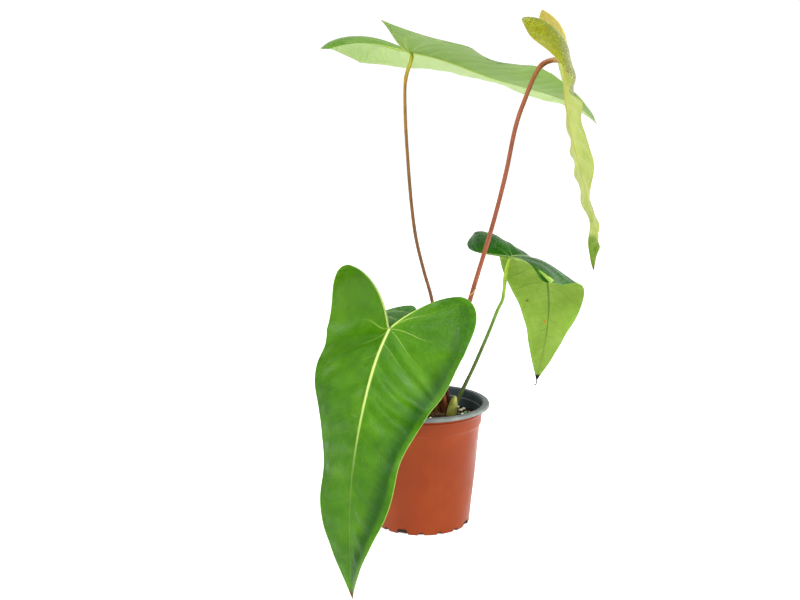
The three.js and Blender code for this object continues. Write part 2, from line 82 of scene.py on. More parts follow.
# ---- leaves
# The outline and bends of each leaf are those of the CAD model:
#   joint       where the stalk meets the blade, from the middle of the pot at the mix's surface
#   length      joint to tip; lobe: joint back to the end of the lobes; width: of each half
#   lobe_share  where across the half-width a lobe ends; sinus: how straight each inner margin runs
#   heading, elevation, roll   direction of the midrib at five places along it
#   fold, curl  [right, left]: how each half leaves the midrib and how it bends on outwards
#   lift        [right, left]: how far each lobe bends up
#   wave        [right, left]: (height, waves per length, start angle) of the margin
#               right and left are as seen on the upper side from the joint towards the tip
#   stalk       foot: shares of the crown's radii; points: above the crown's top;
#               straight: how far it runs straight into the joint
# The rest are looks: crimp, the height of the small waves along the margin; pitch, the distance
# between lateral veins; quilt, how far the blade bulges between them.
LEAVES = {
    "front": {
        "joint": (-30, -173.5, 127), "length": 233, "lobe": 40, "width": 72,
        "lobe_share": 0.68, "sinus": (1, 1.5),
        "heading": (-122, -119, -134, -150, -171),
        "elevation": (-41, -62, -80, -90, -93),
        "roll": (-8, -10, 15, 23, 35),
        "fold": ((-52, -33, -2, 44, 74), (-4, -33, -41, -40, -45)),
        "curl": ((101, 19, -7, -3, 3), (-5, -8, -6, 3, 16)),
        "lift": (114, 36), "wave": ((4, 3.7, -140), (16, 2.2, 100)),
        "crimp": 0.15, "pitch": 21, "quilt": 2.0, "seed": 3,
        "stalk": {"radius": 2.3, "straight": 13, "foot": (-0.55, -0.64),
                  "points": ((15, -20, 50), (10, -80, 98), (-8, -135, 116))},
    },
    "top_left": {
        "joint": (-10.6, 25, 347), "length": 257, "lobe": 56, "width": 83,
        "lobe_share": 0.57, "sinus": (1.4, 1.4),
        "heading": (38, 34, 35, 34, 53),
        "elevation": (-8, -18, -13, -18, -36),
        "roll": (-20, -7, 3, 5, 53),
        "fold": ((-18, 9, 7, 4, 9), (101, 25, 0, -14, -33)),
        "curl": ((-70, -2, -16, 45, 56), (-139, -38, 7, 38, 37)),
        "lift": (45, -52), "wave": ((37, 1.4, 210), (1, 3.9, 10)),
        "crimp": 0.3, "pitch": 19, "quilt": 0.4, "seed": 11,
        "stalk": {"radius": 1.8, "straight": 5, "foot": (0.42, 0.64),
                  "points": ((9.5, 24, 112), (1.7, 24, 140), (-5.7, 24, 171), (-9.9, 24, 202),
                             (-13.7, 24, 247), (-16.2, 24, 292), (-15.6, 24.5, 322))},
    },
    "top_right": {
        "joint": (124.2, -55, 340.5), "length": 189, "lobe": 35, "width": 67,
        "lobe_share": 0.86, "sinus": (1.4, 1.4),
        "heading": (-55, -54, -36, 2, 80),
        "elevation": (-97, -73, -72, -74, -126),
        "roll": (-16, -12, -17, 8, 55),
        "fold": ((37, 57, 38, -8, -31), (-37, -31, -30, -24, -21)),
        "curl": ((-68, -34, 1, 54, 138), (-42, -16, 8, 40, 70)),
        "lift": (-64, 4), "wave": ((7, 4.3, 40), (8, 2.1, 70)),
        "crimp": 1.6, "pitch": 17, "quilt": 0.9, "seed": 23,
        "stalk": {"radius": 2.3, "straight": 13, "foot": (-0.16, 0.27),
                  "points": ((46, -5, 120), (65, -19.4, 192), (75.1, -29, 238),
                             (82.8, -38.4, 282), (88.5, -44, 302), (103, -51, 336))},
    },
    "right": {
        "joint": (87, 46, 150), "length": 173, "lobe": 39, "width": 65,
        "lobe_share": 0.77, "sinus": (1.4, 1.25),
        "heading": (30, 50, 57, 55, 55),
        "elevation": (8, -39, -83, -108, -118),
        "roll": (37, 35, 31, 34, 35),
        "fold": ((49, 37, 27, 17, 9), (9, -10, -26, -26, -16)),
        "curl": ((-75, -40, -8, 20, 48), (-47, -37, -30, -18, -2)),
        "lift": (104, -78), "wave": ((-13, 1.7, -40), (10, 1.6, 30)),
        "crimp": 0.25, "pitch": 18, "quilt": 0.8, "seed": 37,
        "stalk": {"radius": 1.9, "straight": 5, "foot": (0.74, -0.09),
                  "points": ((51.5, 24, 46), (66, 33, 78), (74.7, 38, 99),
                             (79, 40, 107.5), (80.5, 41, 117), (82, 43, 132))},
    },
    "low": {
        "joint": (-44, -79, 118.5), "length": 112, "lobe": 25, "width": 37,
        "lobe_share": 0.68, "sinus": (1.4, 1.4),
        "heading": (-130, -128, -125, -122, -122),
        "elevation": (-17, -43, -59, -69, -74),
        "roll": (-3, 0, 0, 0, 0),
        "fold": ((10, 8, 5, 5, 5), (8, 6, 5, 5, 5)),
        "curl": ((-10, -10, -8, -5, -5), (-12, -12, -8, -5, -5)),
        "lift": (8, 8), "wave": ((2, 2.0, 0), (2, 2.0, 90)),
        "crimp": 0.4, "pitch": 12, "quilt": 0.5, "seed": 41,
        "stalk": {"radius": 1.7, "straight": 8, "foot": (-0.81, -0.09),
                  "points": ((-4, -6, 40), (-18, -40, 82))},
    },
}
TAPER = (1, 0.86, 0.70, 0.56, 0.44, 0.27, 0)   # half-width along the blade, as shares of the greatest

ROW_PITCH = 1.5            # along the blade
LOBE_ROWS = 30
COLUMN_SHARES = np.concatenate([[0, 0.008, 0.017, 0.028, 0.042], np.linspace(0.062, 0.985, 34), [1]])
THICKNESS = 0.55           # of the blade between its veins
MARGIN_THICKNESS = 0.3
VEIN_ANGLE = 68            # between the midrib and a lateral vein
VEIN_FORWARD = 0.22        # how much a lateral vein bends forward on its way out
BASAL_ANGLE = 42           # between neighbouring veins that spread from the joint
MIDRIB_WIDTH = 1.7


def along(values, share):
    """A smooth curve through evenly spaced values, read at each share from 0 to 1."""
    values = np.asarray(values, float)
    last = len(values) - 1
    at = np.clip(share, 0, 1) * last
    i = np.minimum(at.astype(int), last - 1)
    f = at - i
    before, after = 2 * values[0] - values[1], 2 * values[-1] - values[-2]
    padded = np.concatenate([[before], values, [after]])
    p0, p1, p2, p3 = padded[i], padded[i + 1], padded[i + 2], padded[i + 3]
    cubic = -p0 + 3 * p1 - 3 * p2 + p3
    return 0.5 * (2 * p1 + (p2 - p0) * f + (2 * p0 - 5 * p1 + 4 * p2 - p3) * f**2 + cubic * f**3)


def smoothstep(x, low, high):
    t = np.clip((x - low) / (high - low), 0, 1)
    return t * t * (3 - 2 * t)


def direction_frames(heading, elevation, roll):
    """Tangent, normal and side of the midrib for arrays of angles."""
    h, e, r = np.radians(heading), np.radians(elevation), np.radians(roll)
    tangent = np.stack([np.cos(e) * np.cos(h), np.cos(e) * np.sin(h), np.sin(e)], -1)
    upright = np.stack([-np.sin(e) * np.cos(h), -np.sin(e) * np.sin(h), np.cos(e)], -1)
    level = np.cross(tangent, upright)
    normal = upright * np.cos(r)[:, None] + level * np.sin(r)[:, None]
    return tangent, normal, np.cross(tangent, normal)


def walk(start, directions, length):
    """Points reached by following directions in equal steps over a length."""
    steps = (directions[1:] + directions[:-1]) / 2 * length / (len(directions) - 1)
    return start + np.concatenate([np.zeros((1, 3)), np.cumsum(steps, 0)])


def leaf_spines(leaf):
    """The midrib, then each lobe's own short spine: centre, normal and side at even shares."""
    share = np.linspace(0, 1, 161)
    tangent, normal, side = direction_frames(
        along(leaf["heading"], share), along(leaf["elevation"], share), along(leaf["roll"], share))
    joint = np.array(leaf["joint"], float) + (0, 0, MIX_LEVEL)
    found = {"main": (walk(joint, tangent, leaf["length"]), normal, side)}
    for half, lift in zip((1, -1), leaf["lift"]):
        turn = np.radians(lift) * share[:, None]
        back = -tangent[0] * np.cos(turn) + normal[0] * np.sin(turn)
        up = normal[0] * np.cos(turn) + tangent[0] * np.sin(turn)
        found[half] = (walk(joint, back, leaf["lobe"]), up, np.repeat(side[:1], len(share), 0))
    return found


def read_spine(spine, share):
    at = np.linspace(0, 1, len(spine[0]))
    return [np.stack([np.interp(share, at, part[:, k]) for k in range(3)], -1) for part in spine]


def half_widths(leaf, s, side):
    """Inner and outer half-width at distance s from the joint (negative in the lobes)."""
    width, end = leaf["width"], leaf["lobe_share"] * leaf["width"]
    x = np.clip(-s / leaf["lobe"], 0, 1)
    sinus = leaf["sinus"][0 if side > 0 else 1]
    inner = np.where(s < 0, end * (1 - (1 - x**sinus) ** (1 / sinus)), 0)
    lobe = end + (width - end) * (1 - x**2.2) ** (1 / 2.2)
    outer = np.where(s < 0, lobe, width * along(TAPER, s / leaf["length"]))
    return inner, outer


def vein_field(leaf, s, v, side):
    """Vein number (a vein runs where it is whole) and the distance between veins, at s and v."""
    across = np.maximum(v, 1e-6)
    first = v / math.tan(math.radians(VEIN_ANGLE)) + VEIN_FORWARD * v**2 / leaf["width"]
    lateral = (s - first) / leaf["pitch"]
    reach = np.hypot(s, v) / leaf["width"]
    behind = np.arctan2(across, s) - np.arctan2(across, first)
    basal = -behind * (1 + 0.5 * reach) / math.radians(BASAL_ANGLE)
    number = np.where(lateral > 0, lateral, basal)
    gap = np.where(lateral > 0, leaf["pitch"] * math.sin(math.radians(VEIN_ANGLE)),
                   np.hypot(s, v) * math.radians(BASAL_ANGLE) / (1 + 0.5 * reach))
    seed = leaf["seed"] + side
    number = number + 0.10 * np.sin(v * 0.11 + seed)
    number = number + 0.13 * np.sin(s * 0.045 + 2 * seed) * np.clip(reach, 0, 1)
    offset = 0.0 if side > 0 else 0.38 * smoothstep(s - first, 0, leaf["pitch"])
    return number + offset, gap


def half_blade(leaf, spines, s, side):
    """One half of a blade on a grid of rows s by COLUMN_SHARES: positions and what its shaders read."""
    s, q = np.meshgrid(s, COLUMN_SHARES, indexing="ij")
    shape = s.shape
    s, q = s.ravel(), q.ravel()
    half = 0 if side > 0 else 1
    main = read_spine(spines["main"], np.clip(s / leaf["length"], 0, 1))
    lobe = read_spine(spines[side], np.clip(-s / leaf["lobe"], 0, 1))
    centre, normal, across_dir = [np.where((s < 0)[:, None], b, a) for a, b in zip(main, lobe)]
    t = (s + leaf["lobe"]) / (leaf["length"] + leaf["lobe"])
    fold = np.radians(along(leaf["fold"][half], t))
    curl = np.radians(along(leaf["curl"][half], t))
    bend = np.where(np.abs(curl) < 1e-3, 1e-3, curl) / leaf["width"]
    inner, outer = half_widths(leaf, s, side)
    v = inner + (outer - inner) * q
    across = (np.sin(fold + bend * v) - np.sin(fold)) / bend
    height, waves, start = leaf["wave"][half]
    share = v / leaf["width"]
    wave = height * share**2 * np.sin(2 * math.pi * waves * s / leaf["length"] + math.radians(start))
    seed = leaf["seed"] * side
    crimp = leaf["crimp"] * q**4 * np.sin(s * 0.21 + seed + 1.3 * np.sin(s * 0.05 + seed))
    fade = smoothstep(outer, 2, 20)
    up = (np.cos(fold) - np.cos(fold + bend * v)) / bend + wave + crimp * fade
    position = centre + across_dir * (side * across)[:, None] + normal * up[:, None]
    number, gap = vein_field(leaf, s, v, side)
    edge = np.minimum(outer - v, np.where(s < 0, s + leaf["lobe"] + 0.3 * (outer - v), 1e3))
    sinus = np.where(s < 0, v - inner, 99.0)
    return {
        "shape": shape, "position": position, "flat": np.stack([side * v, s, 0 * s], -1),
        "vein": np.stack([number, gap, edge], -1),
        "rib": np.stack([np.where(s < 0, 99.0, v), sinus, s / leaf["length"]], -1),
    }


def blade_sheet(leaf):
    """The blade's middle surface: fields by vertex, faces seen from the upper side, margin as one loop."""
    spines = leaf_spines(leaf)
    steps = int(round(leaf["length"] / ROW_PITCH))
    back = -leaf["lobe"] * np.sin((1 - np.arange(LOBE_ROWS) / LOBE_ROWS) * math.pi / 2)
    s = np.concatenate([back, leaf["length"] * np.arange(steps + 1) / steps])
    joint_row, last = LOBE_ROWS, len(s) - 1
    fields = {name: [] for name in ("position", "flat", "vein", "rib")}
    total = 0
    faces, outers, inners = [], [], []
    midrib = None
    for side in (1, -1):
        half = half_blade(leaf, spines, s, side)
        index = np.arange(half["shape"][0] * half["shape"][1]).reshape(half["shape"]) + total
        index[0, :] = index[0, 0]
        index[last, :] = index[last, 0]
        if midrib is None:
            midrib = index[joint_row:, 0].copy()
        else:
            index[joint_row:, 0] = midrib
            index[last, :] = midrib[-1]
        for name in fields:
            fields[name].append(half[name])
        total += half["position"].shape[0]
        a, b, c, d = index[:-1, :-1], index[:-1, 1:], index[1:, 1:], index[1:, :-1]
        quads = np.stack([a, d, c, b] if side < 0 else [a, b, c, d], -1).reshape(-1, 4)
        faces.extend(quads.tolist())
        outers.append(index[:, -1].tolist())
        inners.append(index[:joint_row + 1, 0].tolist())
    fields = {name: np.concatenate(parts) for name, parts in fields.items()}
    faces = [list(dict.fromkeys(f)) for f in faces]
    faces = [f for f in faces if len(f) > 2]
    (right, left), (right_in, left_in) = outers, inners
    loop = right[::-1] + right_in[1:] + left_in[:-1][::-1] + left[1:-1]
    used = sorted(set(i for f in faces for i in f))
    renumber = {old: new for new, old in enumerate(used)}
    fields = {name: part[used] for name, part in fields.items()}
    faces = [[renumber[i] for i in f] for f in faces]
    return fields, faces, [renumber[i] for i in loop], spines


def vertex_normals(points, faces):
    """Unit normals by vertex, from the faces round each."""
    normals = np.zeros_like(points)
    for count in (3, 4):
        corners = np.array([f for f in faces if len(f) == count], int).reshape(-1, count).T
        across = np.cross(points[corners[-2]] - points[corners[0]], points[corners[-1]] - points[corners[1]])
        for corner in corners:
            np.add.at(normals, corner, across)
    return normals / np.maximum(np.linalg.norm(normals, axis=1, keepdims=True), 1e-12)


# ---- making meshes
def add_object(name, data):
    made = bpy.data.objects.new(name, data)
    bpy.context.scene.collection.objects.link(made)
    return made


def make_piece(name, points, faces, materials, face_material=None, fields=None, smooth=True):
    """A mesh object from points in millimetres. fields are vectors by vertex that shaders read."""
    mesh = bpy.data.meshes.new(name)
    mesh.from_pydata((np.asarray(points) * MM).tolist(), [], faces)
    mesh.validate()
    for m in materials:
        mesh.materials.append(m)
    if face_material is not None:
        mesh.polygons.foreach_set("material_index", np.asarray(face_material, np.int32))
    mesh.polygons.foreach_set("use_smooth", np.full(len(mesh.polygons), smooth))
    for field, values in (fields or {}).items():
        attribute = mesh.attributes.new(field, "FLOAT_VECTOR", "POINT")
        attribute.data.foreach_set("vector", np.asarray(values, np.float32).ravel())
    mesh.update()
    return add_object(name, mesh)


def settle(piece, slot, *nodes):
    """Rides a finished piece on the plant's one body and hides the CAD nodes it stands for. The slot is not
    used.
    """
    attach(piece, "root")
    if nodes:
        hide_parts(*nodes)
    return piece


def capped_faces(rings, sides):
    """Faces of a tube of closed rings of points, with both ends capped."""
    faces = []
    for i in range(rings - 1):
        for j in range(sides):
            a, b = i * sides + j, i * sides + (j + 1) % sides
            faces.append((a, b, b + sides, a + sides))
    return faces + [tuple(range(sides))[::-1], tuple(range((rings - 1) * sides, rings * sides))]


def disc_faces(rings, sides):
    """Faces, seen from below, of a middle point with closed rings of points round it."""
    faces = []
    for j in range(sides):
        k = (j + 1) % sides
        faces.append((0, 1 + k, 1 + j))
        for i in range(rings - 1):
            a, b = 1 + i * sides + j, 1 + i * sides + k
            faces.append((a, b, b + sides, a + sides))
    return faces


def on_crown(foot, above=0.0):
    """A point level with the crown's top, from shares of the crown's radii."""
    return np.array([*(CROWN_MIDDLE[:2] + np.multiply(foot, CROWN_RADII[:2])), CROWN_TOP + above])


def between(a, b, t, start, end):
    return (a * (end - t) + b * (t - start)) / (end - start)


def centripetal(points, count):
    """Even points along a smooth curve through the given ones, and the distance run at each."""
    p = np.array(points, float)
    p = np.concatenate([[2 * p[0] - p[1]], p, [2 * p[-1] - p[-2]]])
    dense = []
    for p0, p1, p2, p3 in zip(p, p[1:], p[2:], p[3:]):
        t0 = 0.0
        t1 = t0 + np.linalg.norm(p1 - p0) ** 0.5
        t2 = t1 + np.linalg.norm(p2 - p1) ** 0.5
        t3 = t2 + np.linalg.norm(p3 - p2) ** 0.5
        t = np.linspace(t1, t2, 60, endpoint=False)[:, None]
        a1, a2, a3 = between(p0, p1, t, t0, t1), between(p1, p2, t, t1, t2), between(p2, p3, t, t2, t3)
        b1, b2 = between(a1, a2, t, t0, t2), between(a2, a3, t, t1, t3)
        dense.append(between(b1, b2, t, t1, t2))
    dense = np.concatenate(dense + [p[-2:-1]])
    run = np.concatenate([[0], np.cumsum(np.linalg.norm(np.diff(dense, axis=0), axis=1))])
    even = np.linspace(0, run[-1], count)
    return np.stack([np.interp(even, run, dense[:, k]) for k in range(3)], -1), even


def tube(centres, radius_at, sides):
    """A closed tube along points. radius_at(ring share, angle) gives its radius.
    Returns points, faces, and each vertex's ring share and angle."""
    tangents = np.gradient(centres, axis=0)
    tangents /= np.linalg.norm(tangents, axis=1, keepdims=True)
    up = np.cross(tangents[0], (0.0, 1.0, 0.0))
    if np.linalg.norm(up) < 0.1:
        up = np.cross(tangents[0], (1.0, 0.0, 0.0))
    angles = np.arange(sides) / sides * 2 * math.pi
    rings, shares, turns = [], [], []
    last = len(centres) - 1
    for i, (centre, tangent) in enumerate(zip(centres, tangents)):
        up = up - tangent * (up @ tangent)
        up /= np.linalg.norm(up)
        other = np.cross(tangent, up)
        radius = radius_at(i / last, angles) * np.ones(sides)
        spokes = np.cos(angles)[:, None] * up + np.sin(angles)[:, None] * other
        rings.append(centre + radius[:, None] * spokes)
        shares.append(np.full(sides, i / last))
        turns.append(angles)
    return np.concatenate(rings), capped_faces(last + 1, sides), np.concatenate(shares), np.concatenate(turns)


def tube_fields(share, turn, length, radius=1.0, start=0.0):
    """What a tube's shaders read: how far along and round, and the place on its skin in millimetres."""
    skin = [radius * np.cos(turn), radius * np.sin(turn), share * length + start]
    return {"run": np.stack([share, turn, 0 * share], -1), "skin": np.stack(skin, -1)}


# ---- shaders
RUBBED_RING = 0.0011       # metres between the rings rubbed into the lip


class Shader:
    """One material's node tree, with short ways to add to it."""

    def __init__(self, name, **surface):
        self.material = bpy.data.materials.new(name)
        self.material.use_nodes = True
        self.tree = self.material.node_tree
        self.surface = self.tree.nodes["Principled BSDF"]
        for socket, value in surface.items():
            self.surface.inputs[socket.replace("_", " ")].default_value = value

    def node(self, kind, **settings):
        made = self.tree.nodes.new(kind)
        for key, value in settings.items():
            setattr(made, key, value)
        return made

    def feed(self, socket, value):
        if isinstance(value, bpy.types.NodeSocket):
            self.tree.links.new(value, socket)
        else:
            socket.default_value = value

    def read(self, field):
        return self.node("ShaderNodeAttribute", attribute_name=field).outputs["Vector"]

    def split(self, vector):
        made = self.node("ShaderNodeSeparateXYZ")
        self.feed(made.inputs[0], vector)
        return made.outputs

    def length(self, vector):
        made = self.node("ShaderNodeVectorMath", operation="LENGTH")
        self.feed(made.inputs[0], vector)
        return made.outputs["Value"]

    def place(self):
        return self.node("ShaderNodeTexCoord").outputs["Object"]

    def math(self, operation, a, b=0.0, clamp=False):
        made = self.node("ShaderNodeMath", operation=operation, use_clamp=clamp)
        self.feed(made.inputs[0], a)
        self.feed(made.inputs[1], b)
        return made.outputs[0]

    def times(self, a, b):
        return self.math("MULTIPLY", a, b)

    def weigh(self, *terms):
        """The sum of values, each with its weight."""
        total = None
        for value, weight in terms:
            part = value if weight == 1 else self.times(value, weight)
            total = part if total is None else self.math("ADD", total, part)
        return total

    def ease(self, value, low, high, start=0.0, end=1.0):
        """A smooth step of value: start below low, end above high."""
        made = self.node("ShaderNodeMapRange", interpolation_type="SMOOTHSTEP")
        for socket, given in zip(made.inputs, (value, low, high, start, end)):
            self.feed(socket, given)
        return made.outputs[0]

    def fall(self, value, low, high):
        return self.ease(value, low, high, 1.0, 0.0)

    def stretch(self, vector, x, y, z):
        made = self.node("ShaderNodeVectorMath", operation="MULTIPLY")
        self.feed(made.inputs[0], vector)
        made.inputs[1].default_value = (x, y, z)
        return made.outputs[0]

    def texture(self, kind, vector, values, output, **settings):
        made = self.node(kind, **settings)
        self.feed(made.inputs["Vector"], vector)
        for socket, value in values.items():
            made.inputs[socket].default_value = value
        return made.outputs[output]

    def noise(self, vector, scale, detail, rough, distortion=0.0):
        values = {"Scale": scale, "Detail": detail, "Roughness": rough, "Distortion": distortion}
        return self.texture("ShaderNodeTexNoise", vector, values, "Fac")

    def cells(self, vector, scale, feature="F1", wobble=1.0):
        values = {"Scale": scale, "Randomness": wobble}
        return self.texture("ShaderNodeTexVoronoi", vector, values, "Distance", feature=feature)

    def ramp(self, value, *stops):
        made = self.node("ShaderNodeValToRGB")
        self.feed(made.inputs[0], value)
        elements = made.color_ramp.elements
        while len(elements) < len(stops):
            elements.new(0.5)
        for element, (at, colour) in zip(elements, stops):
            element.position = at
            element.color = surface_colour(*colour)
        return made.outputs[0]

    def coat(self, colour, *coats):
        """Lays coats over a colour in turn. Each is where it lies, how strong it is and its own colour."""
        for where, strength, paint in coats:
            made = self.node("ShaderNodeMix", data_type="RGBA")
            self.feed(made.inputs[0], where if strength == 1 else self.times(where, strength))
            self.feed(made.inputs[6], colour)
            made.inputs[7].default_value = surface_colour(*paint)
            colour = made.outputs[2]
        return colour

    def bump(self, height, distance, strength=1.0, under=None):
        """distance is in millimetres."""
        made = self.node("ShaderNodeBump")
        made.inputs["Strength"].default_value = strength
        made.inputs["Distance"].default_value = distance * MM
        self.feed(made.inputs["Height"], height)
        if under is not None:
            self.feed(made.inputs["Normal"], under)
        return made.outputs[0]

    def finish(self, colour, roughness, normal=None):
        self.feed(self.surface.inputs["Base Color"], colour)
        self.feed(self.surface.inputs["Roughness"], roughness)
        if normal is not None:
            self.feed(self.surface.inputs["Normal"], normal)
        return self.material


def leaf_surface(name, look, under):
    """Upper or under side of a blade. look holds its colours and how strongly each mark shows."""
    shader = Shader(name, Specular_IOR_Level=0.12 if under else look["gloss"],
                    Subsurface_Weight=0.35, Subsurface_Scale=0.0012)
    shader.surface.inputs["Subsurface Radius"].default_value = (0.5, 1.0, 0.15)
    ease, fall, times = shader.ease, shader.fall, shader.times
    flat = shader.read("flat")
    number, gap, edge = shader.split(shader.read("vein"))
    midrib, sinus, share = shader.split(shader.read("rib"))
    across = shader.split(flat)[0]

    # where each mark lies: veins, painted quilting light round them, the net between them, midrib and margin
    to_vein = times(shader.math("PINGPONG", number, 0.5), gap)
    wide = look["vein_width"] * (1.3 if under else 1.0)
    lateral = times(fall(to_vein, 0.15 * wide, wide), ease(edge, 2.0, 12.0))
    star = ease(shader.length(flat), 0.3 * look["star"], look["star"], look["star_strength"], 0.0)
    # painted light: paler colour round each vein, standing in for the light on the quilted blade
    halo = times(fall(to_vein, 0.0, 5.0), ease(edge, 1.0, 9.0))
    from_collective = shader.math("ABSOLUTE", shader.math("SUBTRACT", edge, 5.2))
    collective = fall(from_collective, 0.2, 0.8)
    net_wide = fall(shader.cells(flat, 0.22, "DISTANCE_TO_EDGE", 0.9), 0.01, 0.07)
    net_fine = fall(shader.cells(flat, 0.62, "DISTANCE_TO_EDGE", 0.95), 0.01, 0.12)
    forward = shader.math("MAXIMUM", share, 0.0)
    slim = shader.math("POWER", shader.math("SUBTRACT", 1.0, forward, clamp=True), 0.8)
    rib_wide = shader.math("ADD", times(slim, MIDRIB_WIDTH * (1.1 if under else 0.8)), 0.25)
    rib = fall(shader.math("DIVIDE", midrib, rib_wide), 0.45, 1.0)
    rib_fade = ease(share, *look["rib_fade"], 1.0, look["rib_end"])
    rim = times(fall(sinus, 0.9, 1.7), ease(share, -0.17, -0.05))
    # painted shade: a darker band a few millimetres inside the margin, as the shade of the curled edge, with
    # its own strength on each half
    band = times(ease(edge, 2.5, 7.0), fall(edge, 8.0, 22.0))
    band = times(band, ease(share, -0.15, 0.25, 0.35, 1.0))
    band_strength = ease(across, -2.0, 2.0, look["band"][1], look["band"][0])

    broad = shader.noise(flat, 0.022, 3.0, 0.5)
    patches = shader.noise(flat, 0.11, 4.0, 0.6, 0.4)
    grain = shader.noise(flat, 1.1, 3.0, 0.6)
    tone = shader.weigh((broad, 0.7), (patches, 0.3))
    colour = shader.ramp(tone, (0.32, look["deep"]), (0.5, look["body"]), (0.7, look["pale"]))
    # each zone lays a tone over a stretch of the blade; the top-left under side's zones are painted light and
    # shade
    for side, start, end, stain, strength in look["zones"]:
        within = times(ease(share, start - 0.02, start + 0.02),
                       ease(share, end - 0.04, end + 0.04, strength, 0.0))
        if side:
            within = times(within, ease(times(across, side), -0.4, 0.8))
        colour = shader.coat(colour, (within, 1, stain))
    colour = shader.coat(
        colour,
        # painted quilting light round the veins
        (halo, look["halo"], look["pale"]),
        (ease(grain, 0.35, 0.7, 0.0, 0.14), 1, look["deep"]),
        (net_wide, look["net"], look["vein"]),
        (net_fine, look["net"] * 0.55, look["vein"]),
        # painted shade inside the margin
        (band, band_strength, look["shade"]),
        (collective, look["lateral"] * 0.6, look["vein"]),
        (lateral, look["lateral"], look["vein"]),
        (lateral, star, look["rib"]),
        (rib, rib_fade, look["rib"]),
        (rim, 0.85, look["rib"]),
        (ease(edge, 0.15, 0.75, 0.8, 0.0), 1, look["margin"]))
    for spot in look["spots"]:
        colour = blemish(shader, colour, flat, *spot)
    dry = ease(shader.weigh((share, 1), (patches, 0.02)), *look["dry"])
    colour = shader.coat(colour, (dry, 1, look["dry_colour"]))

    height = shader.weigh((net_wide, 0.25), (net_fine, 0.12), (lateral, 0.7 if under else 0.35),
                          (rib, 0.8), (rim, 0.8), (patches, 0.5))
    pores = shader.noise(flat, 5.0, 2.0, 0.5)
    normal = shader.bump(pores, 0.05, 0.5, shader.bump(height, 0.5, 0.75))
    return shader.finish(colour, ease(patches, 0.3, 0.7, look["rough"] - 0.05, look["rough"] + 0.07), normal)


def blemish(shader, colour, flat, across, forward, size, stain, strength):
    """A stain on a blade, in the blade's own flat coordinates."""
    offset = shader.node("ShaderNodeVectorMath", operation="SUBTRACT")
    shader.feed(offset.inputs[0], flat)
    offset.inputs[1].default_value = (across, forward, 0.0)
    ragged = shader.noise(flat, 0.9, 3.0, 0.6)
    reach = shader.weigh((shader.length(offset.outputs[0]), 1), (ragged, size * 1.2))
    return shader.coat(colour, (shader.ease(reach, size * 0.8, size * 1.6, strength, 0.0), 1, stain))


def stalk_surface(name, stops, dark, pale, rough=0.36):
    """A stalk whose colour changes along it (stops), with long streaks and small pale specks."""
    shader = Shader(name, Specular_IOR_Level=0.3, Subsurface_Weight=0.12, Subsurface_Scale=0.001)
    skin = shader.read("skin")
    streaks = shader.noise(shader.stretch(skin, 1.0, 1.0, 0.05), 1.4, 4.0, 0.6)
    lines = shader.noise(shader.stretch(skin, 1.0, 1.0, 0.02), 4.0, 2.0, 0.6)
    blotch = shader.noise(skin, 0.06, 3.0, 0.6)
    specks = shader.fall(shader.cells(shader.stretch(skin, 1.0, 1.0, 0.35), 0.9), 0.05, 0.16)
    colour = shader.coat(
        shader.ramp(shader.split(shader.read("run"))[0], *stops),
        (shader.ease(streaks, 0.42, 0.72, 0.0, 0.55), 1, dark),
        (shader.ease(lines, 0.5, 0.75, 0.0, 0.35), 1, pale),
        (shader.ease(blotch, 0.45, 0.7, 0.0, 0.3), 1, dark),
        (specks, 0.3, pale))
    height = shader.weigh((streaks, 1), (lines, 0.4), (specks, 0.3))
    return shader.finish(colour, shader.ease(streaks, 0.3, 0.7, rough, rough + 0.15),
                         shader.bump(height, 0.12, 0.8))


def moulded_plastic(name, deep, body, pale, rough, scuff, dust, rubbed_at=None):
    """Thin moulded plastic: faint mottling, fine pebble, scuffs, dust that runs down, a rubbed ledge."""
    shader = Shader(name, Specular_IOR_Level=0.14)
    place = shader.place()
    mottle = shader.noise(place, 22.0, 4.0, 0.55)
    cloud = shader.noise(place, 75.0, 5.0, 0.6)
    pebble_grain = shader.noise(place, 1500.0, 2.0, 0.5)
    streak = shader.noise(shader.stretch(place, 1.0, 1.0, 0.12), 110.0, 4.0, 0.6)
    scratch = shader.noise(shader.stretch(place, 0.25, 0.25, 2.0), 420.0, 2.0, 0.7)
    marks = shader.ease(scratch, 0.68, 0.76)
    colour = shader.coat(
        shader.ramp(mottle, (0.25, deep), (0.5, body), (0.75, pale)),
        (shader.ease(cloud, 0.4, 0.72, 0.0, 0.15), 1, pale),
        (shader.ease(streak, 0.56, 0.8, 0.0, dust), 1, scuff))
    if rubbed_at is not None:
        off = shader.math("ABSOLUTE", shader.math("SUBTRACT", shader.split(place)[2], rubbed_at * MM))
        colour = shader.coat(colour, (shader.ease(off, 0.3 * MM, 0.8 * MM, 0.8, 0.0), 1, scuff))
    colour = shader.coat(colour, (marks, 0.12, scuff))
    height = shader.weigh((pebble_grain, 0.25), (cloud, 0.6), (marks, -0.3))
    return shader.finish(colour, shader.ease(streak, 0.3, 0.75, rough, rough + 0.14),
                         shader.bump(height, 0.12, 0.6))


